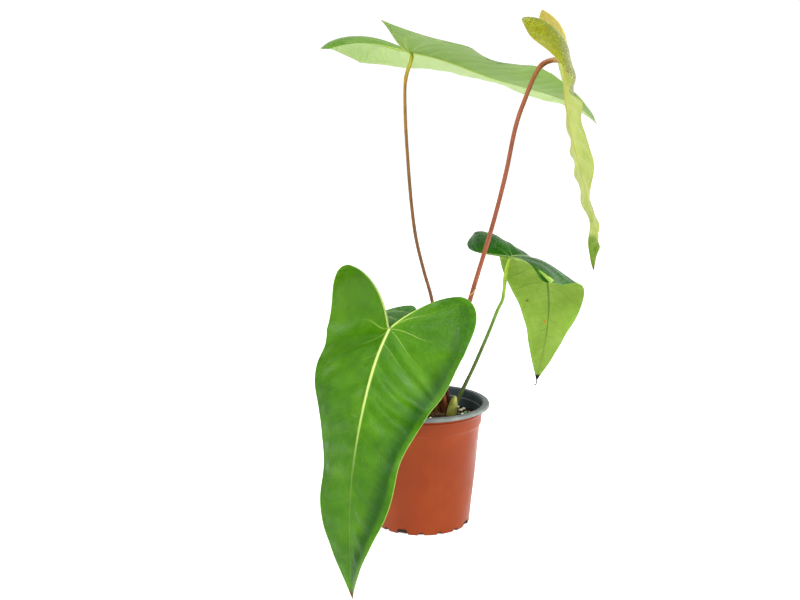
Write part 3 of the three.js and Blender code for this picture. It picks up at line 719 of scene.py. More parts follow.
def worn_rim(name):
    """The lip's top: grey plastic rubbed pale in rings, with chalky water marks and chips."""
    shader = Shader(name, Specular_IOR_Level=0.45)
    place = shader.place()
    x, y, _ = shader.split(place)
    radius = shader.math("SQRT", shader.math("ADD", shader.times(x, x), shader.times(y, y)))
    rings = shader.math("SINE", shader.times(radius, 2 * math.pi / RUBBED_RING))
    cloud = shader.noise(place, 90.0, 5.0, 0.65)
    chalk = shader.noise(place, 420.0, 4.0, 0.7)
    colour = shader.coat(
        shader.ramp(cloud, (0.25, (98, 105, 104)), (0.5, (118, 126, 123)), (0.75, (147, 153, 149))),
        (shader.ease(rings, -0.2, 0.9, 0.0, 0.25), 1, (96, 103, 104)),
        (shader.ease(chalk, 0.55, 0.75, 0.0, 0.35), 1, (178, 181, 174)),
        (shader.ease(chalk, 0.25, 0.4, 0.5, 0.0), 1, (84, 92, 94)))
    height = shader.weigh((rings, 0.25), (chalk, 1))
    return shader.finish(colour, shader.ease(chalk, 0.3, 0.7, 0.4, 0.7), shader.bump(height, 0.12, 0.7))


def rough_matter(name, deep, body, pale, scale, height_mm, rough=0.9):
    """Soil, bark, perlite and other grainy stuff."""
    shader = Shader(name, Specular_IOR_Level=0.25)
    place = shader.place()
    lumpy = shader.noise(place, scale, 5.0, 0.65)
    grains = shader.cells(place, scale * 2.6)
    fine = shader.noise(place, scale * 7, 3.0, 0.7)
    tone = shader.weigh((lumpy, 0.65), (fine, 0.35))
    colour = shader.ramp(tone, (0.36, deep), (0.5, body), (0.66, pale))
    colour = shader.coat(colour, (shader.ease(grains, 0.0, 0.35, 0.45, 0.0), 1, deep))
    height = shader.weigh((lumpy, 1), (grains, 0.5), (fine, 1))
    return shader.finish(colour, shader.ease(fine, 0.3, 0.7, rough - 0.1, rough + 0.08),
                         shader.bump(height, height_mm, 0.9))


def fibrous_skin(name, deep, body, pale, rough, translucence):
    """Papery or fleshy sheath with long fibres: reads the run and skin fields."""
    shader = Shader(name, Specular_IOR_Level=0.35, Subsurface_Weight=translucence, Subsurface_Scale=0.001)
    skin = shader.read("skin")
    fibres = shader.noise(shader.stretch(skin, 1.0, 1.0, 0.06), 2.6, 4.0, 0.65)
    patches = shader.noise(skin, 0.22, 4.0, 0.6)
    tone = shader.weigh((fibres, 0.6), (patches, 0.4))
    colour = shader.ramp(tone, (0.36, deep), (0.5, body), (0.64, pale))
    at_foot = shader.ease(shader.split(shader.read("run"))[0], 0.0, 0.35, 0.6, 0.0)
    colour = shader.coat(colour, (at_foot, 1, deep))
    return shader.finish(colour, shader.ease(fibres, 0.3, 0.7, rough, rough + 0.2),
                         shader.bump(fibres, 0.2, 0.9))


# ---- looks of the leaves
# spots are stains: (across, forward from the joint, size, colour, strength)
# zones are tones, some the leaf's own and some painted light and shade: (side of the midrib or 0, from share,
# to share of the length, colour, strength)
def look(deep, body, pale, vein, rib, margin, **changes):
    """Colours of one side of a blade, and how strongly its marks show, with changes to the usual."""
    return {
        "deep": deep, "body": body, "pale": pale, "vein": vein, "rib": rib, "margin": margin,
        "halo": 0.18, "net": 0.06, "lateral": 0.22, "vein_width": 0.6, "star": 55, "star_strength": 0.5,
        "rib_fade": (0.1, 0.9), "rib_end": 0.6, "band": (0.0, 0.0), "shade": deep, "gloss": 0.12,
        "rough": 0.38, "spots": (), "zones": (), "dry": (0.985, 1.0), "dry_colour": (104, 62, 26), **changes,
    }


BLACK = (22, 17, 12)
LOOKS = {
    "front": {
        "upper": look((46, 98, 0), (68, 124, 0), (92, 145, 8), (118, 166, 40), (204, 222, 124),
                      # painted shade inside the margin: its strength on the right and left half, and its dark
                      # colour
                      (156, 192, 80), band=(0.15, 0.85), shade=(22, 76, 0), rib_fade=(0.15, 0.62),
                      rib_end=0.1, lateral=0.1, halo=0.08, net=0.03, star=44, star_strength=0.34,
                      rough=0.34, dry=(0.972, 0.988)),
        "under": look((96, 136, 52), (122, 158, 72), (150, 180, 100), (176, 198, 124), (190, 206, 126),
                      (150, 172, 88), rough=0.5),
    },
    "top_left": {
        "upper": look((66, 112, 14), (92, 138, 26), (122, 162, 50), (150, 182, 82), (186, 202, 104),
                      (128, 140, 52)),
        "under": look((120, 160, 50), (146, 182, 76), (168, 200, 104), (178, 208, 122), (170, 196, 84),
                      (108, 128, 30), rough=0.48, halo=0.1, lateral=0.15, net=0.06,
                      # painted shade on the right half and painted light on the left half of this under side
                      zones=((1, -0.3, 1.2, (104, 144, 44), 0.75), (-1, -0.3, 1.2, (196, 220, 150), 0.6)),
                      dry=(0.992, 1.0), dry_colour=(150, 130, 50)),
    },
    "top_right": {
        "upper": look((84, 100, 0), (112, 120, 0), (140, 142, 2), (184, 200, 84), (214, 218, 140),
                      (178, 168, 84), rough=0.25, net=0.04, lateral=0.15, gloss=0.14, star=20,
                      zones=((0, 0.8, 1.2, (80, 134, 0), 0.85),)),
        "under": look((152, 172, 60), (182, 196, 90), (204, 212, 124), (212, 218, 140), (190, 180, 90),
                      (170, 146, 76), rough=0.46, lateral=0.3, net=0.08,
                      zones=((-1, -0.4, -0.01, (212, 180, 84), 0.85), (1, -0.4, -0.01, (170, 150, 20), 0.5),
                             (0, 0.84, 1.2, (96, 140, 0), 0.95))),
    },
    "right": {
        "upper": look((20, 72, 0), (34, 96, 4), (60, 122, 20), (96, 150, 70), (150, 184, 110),
                      (120, 160, 60), rough=0.28, lateral=0.2, halo=0.05, net=0.0, gloss=0.14, star=20,
                      dry=(0.965, 0.98), dry_colour=BLACK),
        "under": look((132, 170, 50), (158, 194, 74), (184, 214, 104), (112, 152, 46), (96, 134, 36),
                      (112, 156, 48), rough=0.46, lateral=0.18, net=0.2, halo=0.0,
                      spots=((-4, 112, 2.6, (214, 130, 16), 1.0), (-24, 92, 2.2, (100, 64, 20), 0.9),
                             (-14, 52, 1.8, (150, 130, 40), 0.6), (11, 70, 1.5, (150, 130, 40), 0.5)),
                      dry=(0.965, 0.98), dry_colour=BLACK),
    },
    "low": {
        "upper": look((38, 82, 20), (60, 110, 38), (88, 138, 64), (140, 176, 106), (196, 216, 146),
                      (150, 180, 96), rough=0.28),
        "under": look((100, 138, 66), (124, 158, 84), (148, 176, 106), (170, 190, 124), (186, 202, 124),
                      (140, 160, 84), rough=0.5),
    },
}
STALK_LOOKS = {
    "front": (((0.0, (90, 50, 20)), (0.3, (130, 104, 34)), (0.8, (140, 156, 50)),
               (1.0, (200, 216, 112))), ((96, 76, 32), (172, 178, 96))),
    "top_left": (((0.0, (74, 24, 8)), (0.35, (116, 62, 26)), (0.7, (132, 92, 36)),
                  (0.92, (176, 130, 26)), (1.0, (188, 204, 40))), ((80, 46, 18), (190, 152, 96))),
    "top_right": (((0.0, (112, 44, 16)), (0.4, (156, 76, 38)), (0.85, (164, 84, 42)),
                   (0.95, (150, 84, 34)), (1.0, (190, 170, 84))), ((112, 44, 20), (222, 166, 128))),
    "right": (((0.0, (52, 62, 6)), (0.45, (78, 112, 16)), (0.72, (112, 156, 28)),
               (0.8, (166, 208, 46)), (1.0, (186, 222, 60))), ((56, 76, 12), (164, 194, 90))),
    "low": (((0.0, (90, 50, 20)), (0.4, (110, 110, 46)), (0.85, (120, 140, 56)),
             (1.0, (168, 186, 92))), ((86, 78, 34), (160, 170, 90))),
}


# ---- leaves
def build_blade(name, leaf):
    """A blade with two faces, a margin between them and raised veins. Returns its spines."""
    fields, faces, loop, spines = blade_sheet(leaf)
    points = fields["position"]
    normals = vertex_normals(points, faces)
    number, gap, edge = fields["vein"].T
    midrib, sinus, share = fields["rib"].T
    to_vein = np.abs(number - np.round(number)) * gap
    swell = np.sin(math.pi * number) ** 2 * smoothstep(edge, 2, 12) * smoothstep(midrib, 2, 10)
    swell *= np.clip(gap / leaf["pitch"], 0, 1) * smoothstep(sinus, 2, 10)
    middle = points + normals * (leaf["quilt"] * swell)[:, None]
    slim = 1 - 0.75 * np.clip(share, 0, 1)
    rib = np.exp(-(midrib / (1.1 * slim)) ** 2) * slim
    rib = rib + np.exp(-(sinus / 0.9) ** 2) * smoothstep(share, -0.2, -0.04)
    rib *= smoothstep(1.02 - share, 0, 0.12)
    lateral = np.exp(-(to_vein / 0.9) ** 2) * smoothstep(edge, 3, 14)
    thick = MARGIN_THICKNESS + (THICKNESS - MARGIN_THICKNESS) * smoothstep(edge, 0, 6)
    above = thick / 2 + 0.35 * rib + 0.08 * lateral
    below = thick / 2 + 0.95 * rib + 0.22 * lateral
    skin = np.concatenate([middle + normals * above[:, None], middle - normals * below[:, None]])
    count = len(points)
    upper = [tuple(f) for f in faces]
    under = [tuple(i + count for i in reversed(f)) for f in faces]
    rim = [(a, b, b + count, a + count) for a, b in zip(loop, loop[1:] + loop[:1])]
    material_of = [0] * len(upper) + [1] * len(under) + [1] * len(rim)
    looks = LOOKS[name]
    materials = [leaf_surface(f"{name}_{face}", looks[face], face == "under") for face in ("upper", "under")]
    doubled = {key: np.concatenate([fields[key]] * 2) for key in ("flat", "vein", "rib")}
    piece = make_piece(f"{name}_leaf", skin, upper + under + rim, materials, material_of, doubled)
    settle(piece, f"{name}_blade", f"{name}_blade")
    return spines


def build_dried_tip(spines):
    """The shrivelled black end of a blade: a thin twist that hooks back on itself."""
    place, normal, side = (part[0] for part in read_spine(spines["main"], np.array([0.995])))
    forward = np.cross(normal, side)
    route = [place + ahead * forward + aside * side for ahead, aside in
             ((-3, 0), (0.5, 0), (2.2, 1.2), (4.6, 0.4), (5.2, -1.8), (3.8, -3.0))]
    centres, run = centripetal(route, 50)

    def radius_at(share, angles):
        twist = 1 + 0.3 * np.cos(2 * angles + 9 * share)
        return (0.75 - 0.5 * share) * twist * (1 + 0.25 * np.sin(31 * share))

    points, faces, share, turn = tube(centres, radius_at, 12)
    fields = tube_fields(share, turn, run[-1])
    material = fibrous_skin("dried_tip", BLACK, (40, 32, 24), (90, 78, 60), 0.6, 0.0)
    settle(make_piece("right_leaf_tip", points, faces, [material], fields=fields), "right_blade")


def build_stalk(name, leaf, spines):
    """A leaf's stalk: thicker at its foot and its knee, thin where it meets the blade."""
    stalk = leaf["stalk"]
    centre, normal, _ = (part[0] for part in spines["main"])
    foot = on_crown(stalk["foot"])
    route = [foot, foot + (0, 0, 5)]
    route += [np.array(p) + (0, 0, CROWN_TOP) for p in stalk["points"]]
    route += [centre - stalk["straight"] * normal, centre - 0.3 * normal]
    centres, run = centripetal(route, 300)
    length = run[-1]

    def radius_at(share, angles):
        foot_part = 0.5 * math.exp(-share * length / 12)
        from_end = (1 - share) * length
        knee = 0.22 * smoothstep(32 - from_end, 0, 7)
        neck = 1 - 0.25 * smoothstep(3.5 - from_end, 0, 3.5)
        ridges = 0.02 * np.cos(6 * angles + 0.5) + 0.015 * math.sin(share * 41)
        groove = -0.10 * foot_part * 2 * np.exp(-((angles - math.pi) / 0.5) ** 2)
        return stalk["radius"] * (1 + foot_part + knee) * (1 - 0.18 * share) * neck * (1 + ridges + groove)

    points, faces, share, turn = tube(centres, radius_at, 26)
    fields = tube_fields(share, turn, length, stalk["radius"], 31 * leaf["seed"])
    stops, streak_colours = STALK_LOOKS[name]
    material = stalk_surface(f"{name}_petiole", stops, *streak_colours)
    piece = make_piece(f"{name}_petiole", points, faces, [material], fields=fields)
    settle(piece, f"{name}_stalk", f"{name}_stalk")


# ---- pot
WALL = 1.1
POT_SEGMENTS = 192
COLLAR_IN = 6.7            # how much narrower than the rim the collar under the lip is
FOOT_IN = 18.5             # how much narrower than the rim the base is
RIDGE_DOWN = 19            # how far below the rim the ridge runs
LEDGE_DOWN = 8.3           # how far below the rim the rubbed ledge inside is
WIDE_OPENING = (6.4, 5.8)  # half-width and height
NOTCH = (2.7, 3.4)
LIP_DEPTH, LIP_WIDTH = 3.6, 5.4   # of the part that has the worn look
INSIDE, LIP = 1, 2         # of the pot's materials, after the outside's 0
OPENING_ANGLE = -24
OPENINGS = 4
NOTCHES_BETWEEN = 3
BUMPS = ((-8, 56), (18, 36), (112, 50), (205, 62), (291, 40))   # moulding marks: angle, height


def arc(centre, radius, start, end, steps):
    """Points round an arc in the radius-height plane, from angle start to end in degrees."""
    return [(centre[0] + radius * math.cos(math.radians(a)), centre[1] + radius * math.sin(math.radians(a)))
            for a in np.linspace(start, end, steps)]


def pot_profile():
    """The wall's outer face from the middle of the base to the turned-down lip, as radius and height."""
    collar = RIM_RADIUS - COLLAR_IN
    top = collar - 2.1
    base = RIM_RADIUS - FOOT_IN
    ridge = POT_HEIGHT - RIDGE_DOWN
    under_lip = POT_HEIGHT - WALL
    profile = [(0.0, 0.0), (12, 0.0), (24, 0.0), (34, 0.0), (40, 0.0)]
    profile += arc((base - 2.4, 2.4), 2.4, -90, -5, 7)
    profile += [(base + (top - base) * k / 26, 3 + (ridge - 5.5) * k / 26) for k in range(27)]
    profile += [(top + 0.25, ridge - 1.6), (top + 0.9, ridge - 0.8), (top + 1.35, ridge - 0.1),
                (top + 1.45, ridge + 0.7), (top + 1.5, ridge + 2)]
    profile += [(top + 1.5 + 0.55 * k / 5, ridge + 2 + 7.2 * k / 5) for k in range(1, 6)]
    profile += [(collar + out, POT_HEIGHT - down) for out, down in
                ((0.05, 9.2), (0.65, 8.4), (0.75, 7.4), (0.15, 6.6), (0.3, 5), (0.7, 3))]
    profile += arc((collar + 2.0, under_lip - 1.3), 1.3, 180, 90, 5)
    profile += [(collar + 3.4, under_lip)]
    profile += arc((RIM_RADIUS - WALL - 1.3, under_lip - 1.3), 1.3, 90, 0, 5)
    profile += [(RIM_RADIUS - WALL, POT_HEIGHT - 3.4)]
    return profile


def drain_cutter():
    """Wide openings and small notches through the corner between wall and base, as one mesh."""
    points, faces = [], []
    spacing = 360 / (OPENINGS * (NOTCHES_BETWEEN + 1))
    base = RIM_RADIUS - FOOT_IN
    for i in range(OPENINGS * (NOTCHES_BETWEEN + 1)):
        wide = i % (NOTCHES_BETWEEN + 1) == 0
        half, height = WIDE_OPENING if wide else (NOTCH[0] + 0.6 * (i % 2), NOTCH[1])
        outline = [(-half, -2), (half, -2), (half * 0.95, 0.3), (half * 0.74, height * 0.75),
                   (half * 0.56, height), (-half * 0.62, height * 0.96), (-half * 0.82, height * 0.62),
                   (-half * 0.97, 0.3)]
        turn = math.radians(OPENING_ANGLE + i * spacing)
        start = len(points)
        for reach in (base - 7.5, base + 4):
            for x, z in outline:
                points.append((x * math.cos(turn) + reach * math.sin(turn),
                               x * math.sin(turn) - reach * math.cos(turn), z))
        n = len(outline)
        faces += [(start + k, start + n + k, start + n + (k + 1) % n, start + (k + 1) % n) for k in range(n)]
        faces.append(tuple(range(start, start + n)))
        faces.append(tuple(range(start + 2 * n - 1, start + n - 1, -1)))
    return points, faces


def face_outwards(piece):
    """Turns every face of a closed mesh outwards."""
    mesh = bmesh.new()
    mesh.from_mesh(piece.data)
    bmesh.ops.recalc_face_normals(mesh, faces=mesh.faces)
    mesh.to_mesh(piece.data)
    mesh.free()


def modify(piece, kind, **settings):
    made = piece.modifiers.new(kind.lower(), kind)
    for key, value in settings.items():
        setattr(made, key, value)


def apply_modifiers(piece):
    """Replaces a piece's mesh by what its modifiers make of it."""
    evaluated = piece.evaluated_get(bpy.context.evaluated_depsgraph_get())
    mesh = bpy.data.meshes.new_from_object(evaluated)
    piece.modifiers.clear()
    piece.data = mesh


def build_pot():
    """The outer face with faint dents and moulding marks, made solid, with the drain openings cut."""
    profile = np.array(pot_profile())
    angles = np.arange(POT_SEGMENTS) / POT_SEGMENTS * 2 * math.pi
    points = [(0.0, 0.0, profile[0][1])]
    for r, z in profile[1:]:
        body = smoothstep(z, 2, 20) * smoothstep(POT_HEIGHT - 4 - z, 0, 10)
        dents = 0.22 * body * (np.sin(3 * angles + z * 0.05) + 0.6 * np.sin(7 * angles - z * 0.09 + 1))
        for degrees, height in BUMPS:
            away = np.angle(np.exp(1j * (angles - math.radians(degrees - 90)))) * r
            dents = dents + 0.5 * np.exp(-(away**2 + (z - height) ** 2) / 1.4)
        radius = r + dents
        points += list(zip(radius * np.cos(angles), radius * np.sin(angles), np.full(POT_SEGMENTS, z)))
    faces = disc_faces(len(profile) - 1, POT_SEGMENTS)
    outside = moulded_plastic("terracotta_plastic", (135, 50, 8), (143, 55, 10), (154, 64, 14),
                              0.3, (170, 92, 54), 0.12)
    inside = moulded_plastic("charcoal_plastic", (54, 66, 69), (68, 82, 86), (86, 98, 102),
                             0.36, (140, 148, 146), 0.25, POT_HEIGHT - LEDGE_DOWN)
    pot = make_piece("pot_shell", points, faces, [outside, inside, worn_rim("worn_lip")])
    modify(pot, "SOLIDIFY", thickness=WALL * MM, offset=-1, use_even_offset=True,
           material_offset=INSIDE, material_offset_rim=INSIDE)
    cut_points, cut_faces = drain_cutter()
    cutter = make_piece("drain_cutter", cut_points, cut_faces, [outside, inside],
                        [INSIDE] * len(cut_faces), smooth=False)
    face_outwards(cutter)
    modify(pot, "BOOLEAN", operation="DIFFERENCE", object=cutter, solver="EXACT")
    apply_modifiers(pot)
    bpy.data.objects.remove(cutter)
    for face in pot.data.polygons:
        high = face.center.z > (POT_HEIGHT - LIP_DEPTH) * MM
        out = math.hypot(face.center.x, face.center.y) > (RIM_RADIUS - LIP_WIDTH) * MM
        if face.material_index == INSIDE and high and out:
            face.material_index = LIP
    pot.data.set_sharp_from_angle(angle=math.radians(40))
    settle(pot, "terracotta_plastic", "pot")


# ---- mix, crown, loose pieces
def wall_inside(height):
    """Radius of the pot's inner face at a height."""
    profile = [(r, z) for r, z in pot_profile() if 3 <= z <= POT_HEIGHT - 3]
    return float(np.interp(height, [z for _, z in profile], [r for r, _ in profile])) - WALL


def lumps(x, y):
    """Height of the mix's surface above its mean: broad swells and close lumps."""
    broad = 0.8 * np.sin(x * 0.13 + 1) * np.cos(y * 0.11) + 0.5 * np.sin(x * 0.31 - y * 0.23)
    close = 0.35 * np.sin(x * 0.9 + 2 * np.sin(y * 0.7)) + 0.3 * np.cos(y * 1.1 + 2 * np.sin(x * 0.8))
    return broad * 0.6 + close


def build_mix_surface(soil, draw):
    """The lumpy top of the mix, as a thin closed disc."""
    out = wall_inside(MIX_LEVEL) - 0.15
    rings, sides = 60, 150
    angle = np.arange(sides) / sides * 2 * math.pi
    points = [(0, 0, MIX_LEVEL + 1.0)]
    for i in range(1, rings + 1):
        r = out * (i / rings)
        x, y = r * np.cos(angle), r * np.sin(angle)
        z = MIX_LEVEL + 1.0 + lumps(x, y) * smoothstep(out - r, -1, 6) + draw.normal(0, 0.13, sides)
        points += list(zip(x, y, np.maximum(z, MIX_LEVEL + 0.1)))
    skirt = len(points)
    points += list(zip(out * np.cos(angle), out * np.sin(angle), np.full(sides, MIX_LEVEL - 1.5)))
    points.append((0, 0, MIX_LEVEL - 1.5))
    faces = [(f[0], *f[:0:-1]) for f in disc_faces(rings + 1, sides)]
    faces += [(skirt + (j + 1) % sides, skirt + j, len(points) - 1) for j in range(sides)]
    settle(make_piece("mix_surface", points, faces, [soil]), "potting_mix")


def ball(detail):
    """Points and faces of a unit ball."""
    mesh, made = bpy.data.meshes.new("ball"), bmesh.new()
    bmesh.ops.create_icosphere(made, subdivisions=detail, radius=1)
    made.to_mesh(mesh)
    made.free()
    found = np.array([v.co for v in mesh.vertices]), [tuple(f.vertices) for f in mesh.polygons]
    bpy.data.meshes.remove(mesh)
    return found


BALLS = {detail: ball(detail) for detail in (1, 2, 3)}


def pebble(size, seed, detail):
    """Points and faces of a rough pebble round the origin: size is its half-lengths."""
    unit, faces = BALLS[detail]
    wobble = 1 + 0.16 * np.sin(unit @ (3.1, 1.7, 2.3) * 1.3 + seed)
    wobble = wobble + 0.12 * np.sin(unit @ (-1.9, 4.2, 1.1) * 1.6 + 2 * seed)
    wobble += 0.06 * np.sin(unit @ (7.0, -6.0, 5.0) + 3 * seed)
    wobble += 0.05 * np.cos(unit @ (-8.0, 5.0, 9.0) + 5 * seed)
    return unit * wobble[:, None] * np.asarray(size), faces


def turned(points, turn, tilt):
    c, s = math.cos(turn), math.sin(turn)
    ct, st = math.cos(tilt), math.sin(tilt)
    tilted = points @ np.array([[1, 0, 0], [0, ct, st], [0, -st, ct]])
    return tilted @ np.array([[c, s, 0], [-s, c, 0], [0, 0, 1]])


def build_crumbs(name, material, slot, count, size_range, flatness, draw):
    """Loose crumbs strewn over the mix, as one piece."""
    out = wall_inside(MIX_LEVEL) - 2.5
    all_points, all_faces = [], []
    total = 0
    for _ in range(count):
        r, a = out * math.sqrt(draw.random()), draw.random() * 2 * math.pi
        x, y = r * math.cos(a), r * math.sin(a)
        size = size_range[0] + (size_range[1] - size_range[0]) * draw.random() ** 2
        shape = size * np.array([1, 0.5 + 0.5 * draw.random(), flatness * (0.6 + 0.4 * draw.random())])
        points, faces = pebble(shape, draw.random() * 50, 2 if size > 1.0 else 1)
        points = turned(points, draw.random() * 6.28, draw.normal(0, 0.4))
        z = MIX_LEVEL + 1.0 + lumps(x, y) * smoothstep(out - r, -1, 6) + size * flatness * 0.35
        all_points.append(points + (x, y, max(z, MIX_LEVEL + 0.3)))
        all_faces += [tuple(i + total for i in f) for f in faces]
        total += len(points)
    settle(make_piece(name, np.concatenate(all_points), all_faces, [material]), slot)


def build_grain(node, material, slot, seed):
    """A loose piece that fills its CAD node's box."""
    low, high = box_mm(node)
    points, faces = pebble((1, 1, 1), seed, 3)
    points = points - (points.max(0) + points.min(0)) / 2
    points = points / (points.max(0) - points.min(0)) * (high - low) * 1.02 + (low + high) / 2
    settle(make_piece(f"{node}_grain", points, faces, [material]), slot, node)


def build_crown(material):
    """The stem's short top: a lumpy, scarred woody dome between the stalks' feet."""
    sides, rings = 72, 40
    points = []
    for i in range(rings + 1):
        share = i / rings
        z = CROWN_LOW[2] + (CROWN_TOP + 1.2 - CROWN_LOW[2]) * min(1, share / 0.72)
        shrink = 1.0 if share <= 0.72 else math.cos((share - 0.72) / 0.28 * math.pi / 2) ** 0.6
        for j in range(sides):
            a = j / sides * 2 * math.pi
            scar = 0.03 * math.sin(5 * a + z * 0.4) + 0.02 * math.sin(11 * a - z * 0.9)
            r = max(shrink, 0.02) * (0.97 + scar)
            lift = 0.0 if share <= 0.72 else 1.1 * (share - 0.72) / 0.28 + 0.4 * math.sin(3 * a + 9 * share)
            points.append((CROWN_MIDDLE[0] + CROWN_RADII[0] * r * math.cos(a),
                           CROWN_MIDDLE[1] + CROWN_RADII[1] * r * math.sin(a), z + lift))
    settle(make_piece("crown_stem", points, capped_faces(rings + 1, sides), [material]), "stem", "crown")


SHEATHS = {
    "sheath_brown": {"foot": (0.13, -0.45), "tip": (-1.5, -1, 24), "width": 7, "thickness": 0.5,
                     "facing": 0, "ragged": 0.5, "slot": "dry_sheath"},
    "sheath_green": {"foot": (0.5, -0.78), "tip": (3.5, -0.5, 20), "width": 10.5, "thickness": 1.0,
                     "facing": 14, "ragged": 0.08, "slot": "green_sheath"},
}


def build_sheath(node, sheath, material):
    """A thin, curved, pointed sheath round the front of a stalk's foot."""
    turn = math.radians(sheath["facing"])
    side_dir = np.array([math.cos(turn), math.sin(turn), 0])
    out_dir = np.array([math.sin(turn), -math.cos(turn), 0])
    foot = on_crown(sheath["foot"], -0.5)
    rows, columns = 48, 24
    layers, run, skin = [], [], []
    for layer in (1, -1):
        for i in range(rows + 1):
            t = i / rows
            centre = foot + np.array(sheath["tip"]) * t + (0, 0, 0.5 * t)
            half = sheath["width"] / 2 * max(0.05, math.sqrt(1 - t**2.2))
            thin = sheath["thickness"] * (1 - 0.6 * t)
            for j in range(columns + 1):
                u = 2 * j / columns - 1
                pleat = sheath["ragged"] * 0.35 * math.sin(9 * u + 3 * t) * t
                bulge = (1 - u * u) * half * 0.7 + layer * thin / 2 + pleat
                ragged = -sheath["ragged"] * 2.0 * abs(math.sin(7.3 * u + 1)) * t**6
                layers.append(centre + side_dir * u * half + out_dir * bulge + (0, 0, ragged))
                run.append((t, u, 0))
                skin.append((u * half, layer, t * sheath["tip"][2]))
    faces = []
    width = columns + 1
    count = (rows + 1) * width
    for i in range(rows):
        for j in range(columns):
            a, b, c, d = i * width + j, i * width + j + 1, (i + 1) * width + j + 1, (i + 1) * width + j
            faces += [(a, b, c, d), (d + count, c + count, b + count, a + count)]
    border = [*range(columns), *(i * width + columns for i in range(rows)),
              *(rows * width + j for j in range(columns, 0, -1)), *(i * width for i in range(rows, 0, -1))]
    faces += [(a, a + count, b + count, b) for a, b in zip(border, border[1:] + border[:1])]
    fields = {"run": run, "skin": skin}
    settle(make_piece(f"{node}_skin", layers, faces, [material], fields=fields), sheath["slot"], node)


def build_fibre(material):
    """The dry strand across the front of the red stalk, from corner to corner of its CAD box."""
    low, high = box_mm("dry_fibre")
    front = low[1] + 0.5
    route = [(low[0], high[1] - 0.5, low[2] + 0.5), (low[0] + 4, front, low[2] + 3),
             (low[0] + 7.5, front, low[2] + 7), (high[0], high[1] - 0.5, high[2] - 0.5)]
    centres, run = centripetal(route, 60)

    def radius_at(share, angles):
        return 0.42 * (1 - 0.4 * share) * (1 + 0.15 * np.cos(3 * angles))

    points, faces, share, turn = tube(centres, radius_at, 10)
    fields = tube_fields(share, turn, run[-1])
    settle(make_piece("fibre_strand", points, faces, [material], fields=fields), "dry_fibre", "dry_fibre")


# ---- camera, floor and light
CAMERA_PLACE = (-0.021, -1.300, 0.480)
CAMERA_TILT = 78.63        # from straight down
LENS, SENSOR = 63, 36
FLOOR_REACH = 9000         # from the middle to the paper's edge
PAPER_GLOW = 0.53
SKY_LOW, SKY_HIGH = 1.1, 0.42   # brightness of the sky near the horizon and overhead
SKY_CHANGES = (0.22, 0.6)  # heights of the view direction between which one turns into the other
# name, place and aim in metres, size, watts
LIGHTS = (
    ("key", (-1.2, -1.2, 1.5), (0, -0.05, 0.25), 0.7, 44),
    ("side", (1.5, -0.75, 0.5), (0, 0, 0.1), 0.3, 24),
    ("fill", (0.9, -1.0, 1.7), (0.02, 0.02, 0.1), 0.5, 24),
    ("top", (0.3, 0.5, 1.9), (0, 0, 0.3), 0.9, 18),
)


def build_camera():
    data = bpy.data.cameras.new("camera")
    data.lens, data.sensor_width = LENS, SENSOR
    camera = add_object("camera", data)
    camera.location = CAMERA_PLACE
    camera.rotation_euler = (math.radians(CAMERA_TILT), 0, 0)
    bpy.context.scene.camera = camera


def build_stage():
    """White paper that runs out to the horizon, a sky that is bright low down, and soft lamps."""
    shader = Shader("floor_paper", Specular_IOR_Level=0.1,
                    Emission_Color=(1, 1, 1, 1), Emission_Strength=PAPER_GLOW)
    speck = shader.noise(shader.place(), 3.0, 2.0, 0.5)
    paper = shader.ramp(speck, (0.3, (240, 240, 238, 1)), (0.7, (246, 246, 244, 1)))
    corners = [(x * FLOOR_REACH, y * FLOOR_REACH, 0) for x, y in ((-1, -1), (1, -1), (1, 1), (-1, 1))]
    floor = make_piece("floor", corners, [(0, 1, 2, 3)], [shader.finish(paper, 0.8)], smooth=False)
    world = bpy.data.worlds.new("studio")
    world.use_nodes = True
    nodes, links = world.node_tree.nodes, world.node_tree.links
    direction = nodes.new("ShaderNodeSeparateXYZ")
    links.new(nodes.new("ShaderNodeTexCoord").outputs["Generated"], direction.inputs[0])
    height = nodes.new("ShaderNodeMapRange")
    links.new(direction.outputs[2], height.inputs[0])
    for socket, value in zip(list(height.inputs)[1:5], (*SKY_CHANGES, SKY_LOW, SKY_HIGH)):
        socket.default_value = value
    background = nodes["Background"]
    background.inputs[0].default_value = (1, 1, 1, 1)
    links.new(height.outputs[0], background.inputs[1])
    bpy.context.scene.world = world
    for name, place, aim, size, power in LIGHTS:
        data = bpy.data.lights.new(name, "AREA")
        data.size = size
        data.energy = power
        light = add_object(name, data)
        light.location = place
        direction = np.array(aim, float) - np.array(place, float)
        yaw = math.atan2(direction[1], direction[0]) - math.pi / 2
        pitch = math.atan2(direction[2], math.hypot(direction[0], direction[1])) + math.pi / 2
        light.rotation_euler = (pitch, 0, yaw)
    bpy.context.scene.view_settings.view_transform = "Standard"


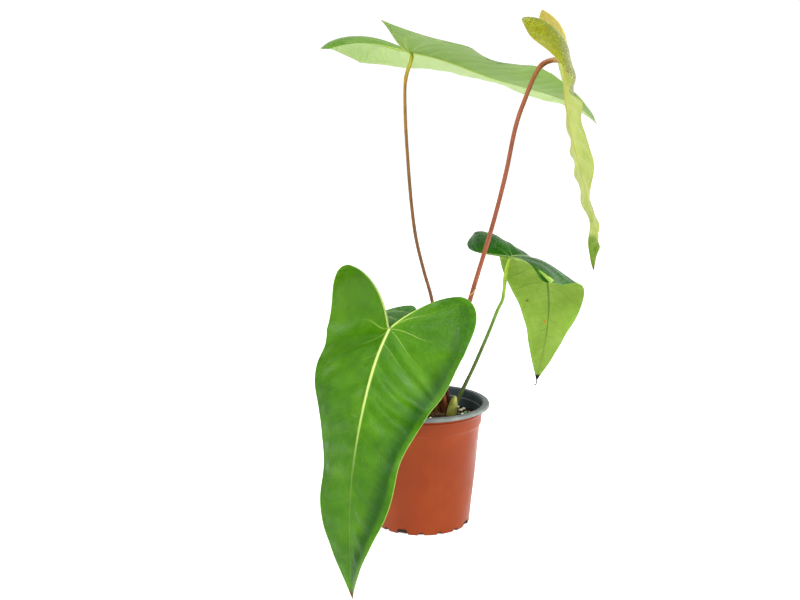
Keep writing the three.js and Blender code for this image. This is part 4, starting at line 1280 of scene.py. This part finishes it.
# ---- the whole plant
# material: three tones, scale of its grain, height of its bumps in millimetres
GRAINY = {
    "stem_bark": ((58, 38, 20), (96, 70, 38), (138, 112, 66), 300, 0.5),
    "potting_soil": ((24, 15, 9), (48, 32, 18), (82, 58, 34), 420, 0.9),
    "soil_crumb": ((30, 17, 10), (64, 40, 24), (104, 74, 48), 500, 0.5),
    "bark_chip": ((44, 26, 16), (92, 56, 34), (146, 104, 70), 380, 0.6),
    "perlite_white": ((206, 192, 146, 1), (244, 236, 206, 1), (254, 252, 240, 1), 420, 0.6),
    "perlite_green": ((104, 150, 74, 1), (140, 190, 110, 1), (190, 220, 160, 1), 420, 0.6),
}
# material: three tones, roughness, how much light shines through
FIBROUS = {
    "brown_sheath": ((60, 26, 6), (120, 60, 16), (190, 110, 40), 0.55, 0.1),
    "green_sheath": ((134, 126, 36), (182, 186, 80), (222, 228, 140), 0.42, 0.2),
    "fibre": ((176, 150, 74), (214, 190, 110), (238, 222, 160), 0.6, 0.0),
}
# piece: material, slot, count, range of sizes, flatness
CRUMBS = {
    "mix_crumbs": ("soil_crumb", "potting_mix", 900, (0.5, 2.0), 0.7),
    "mix_chips": ("bark_chip", "bark", 90, (1.2, 3.0), 0.35),
    "mix_perlite": ("perlite_white", "perlite", 150, (0.5, 1.6), 0.8),
}
GREEN_PERLITE = 5          # the one grain with algae on it


def build():
    draw = np.random.default_rng(7)
    build_camera()
    build_stage()
    build_pot()
    matter = {name: rough_matter(name, *values) for name, values in GRAINY.items()}
    matter |= {name: fibrous_skin(name, *values) for name, values in FIBROUS.items()}
    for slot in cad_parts["potting_mix"].material_slots:
        slot.material = matter["potting_soil"]
    build_mix_surface(matter["potting_soil"], draw)
    for name, (material, *values) in CRUMBS.items():
        build_crumbs(name, matter[material], *values, draw)
    build_crown(matter["stem_bark"])
    for i in range(1, 10):
        tint = "perlite_green" if i == GREEN_PERLITE else "perlite_white"
        build_grain(f"perlite_{i}", matter[tint], "perlite", 1.7 * i)
    for i in range(1, 9):
        build_grain(f"bark_{i}", matter["bark_chip"], "bark", 2.3 * i + 5)
    build_sheath("sheath_brown", SHEATHS["sheath_brown"], matter["brown_sheath"])
    build_sheath("sheath_green", SHEATHS["sheath_green"], matter["green_sheath"])
    build_fibre(matter["fibre"])
    for name, leaf in LEAVES.items():
        spines = build_blade(name, leaf)
        build_stalk(name, leaf, spines)
        if name == "right":
            build_dried_tip(spines)


build()
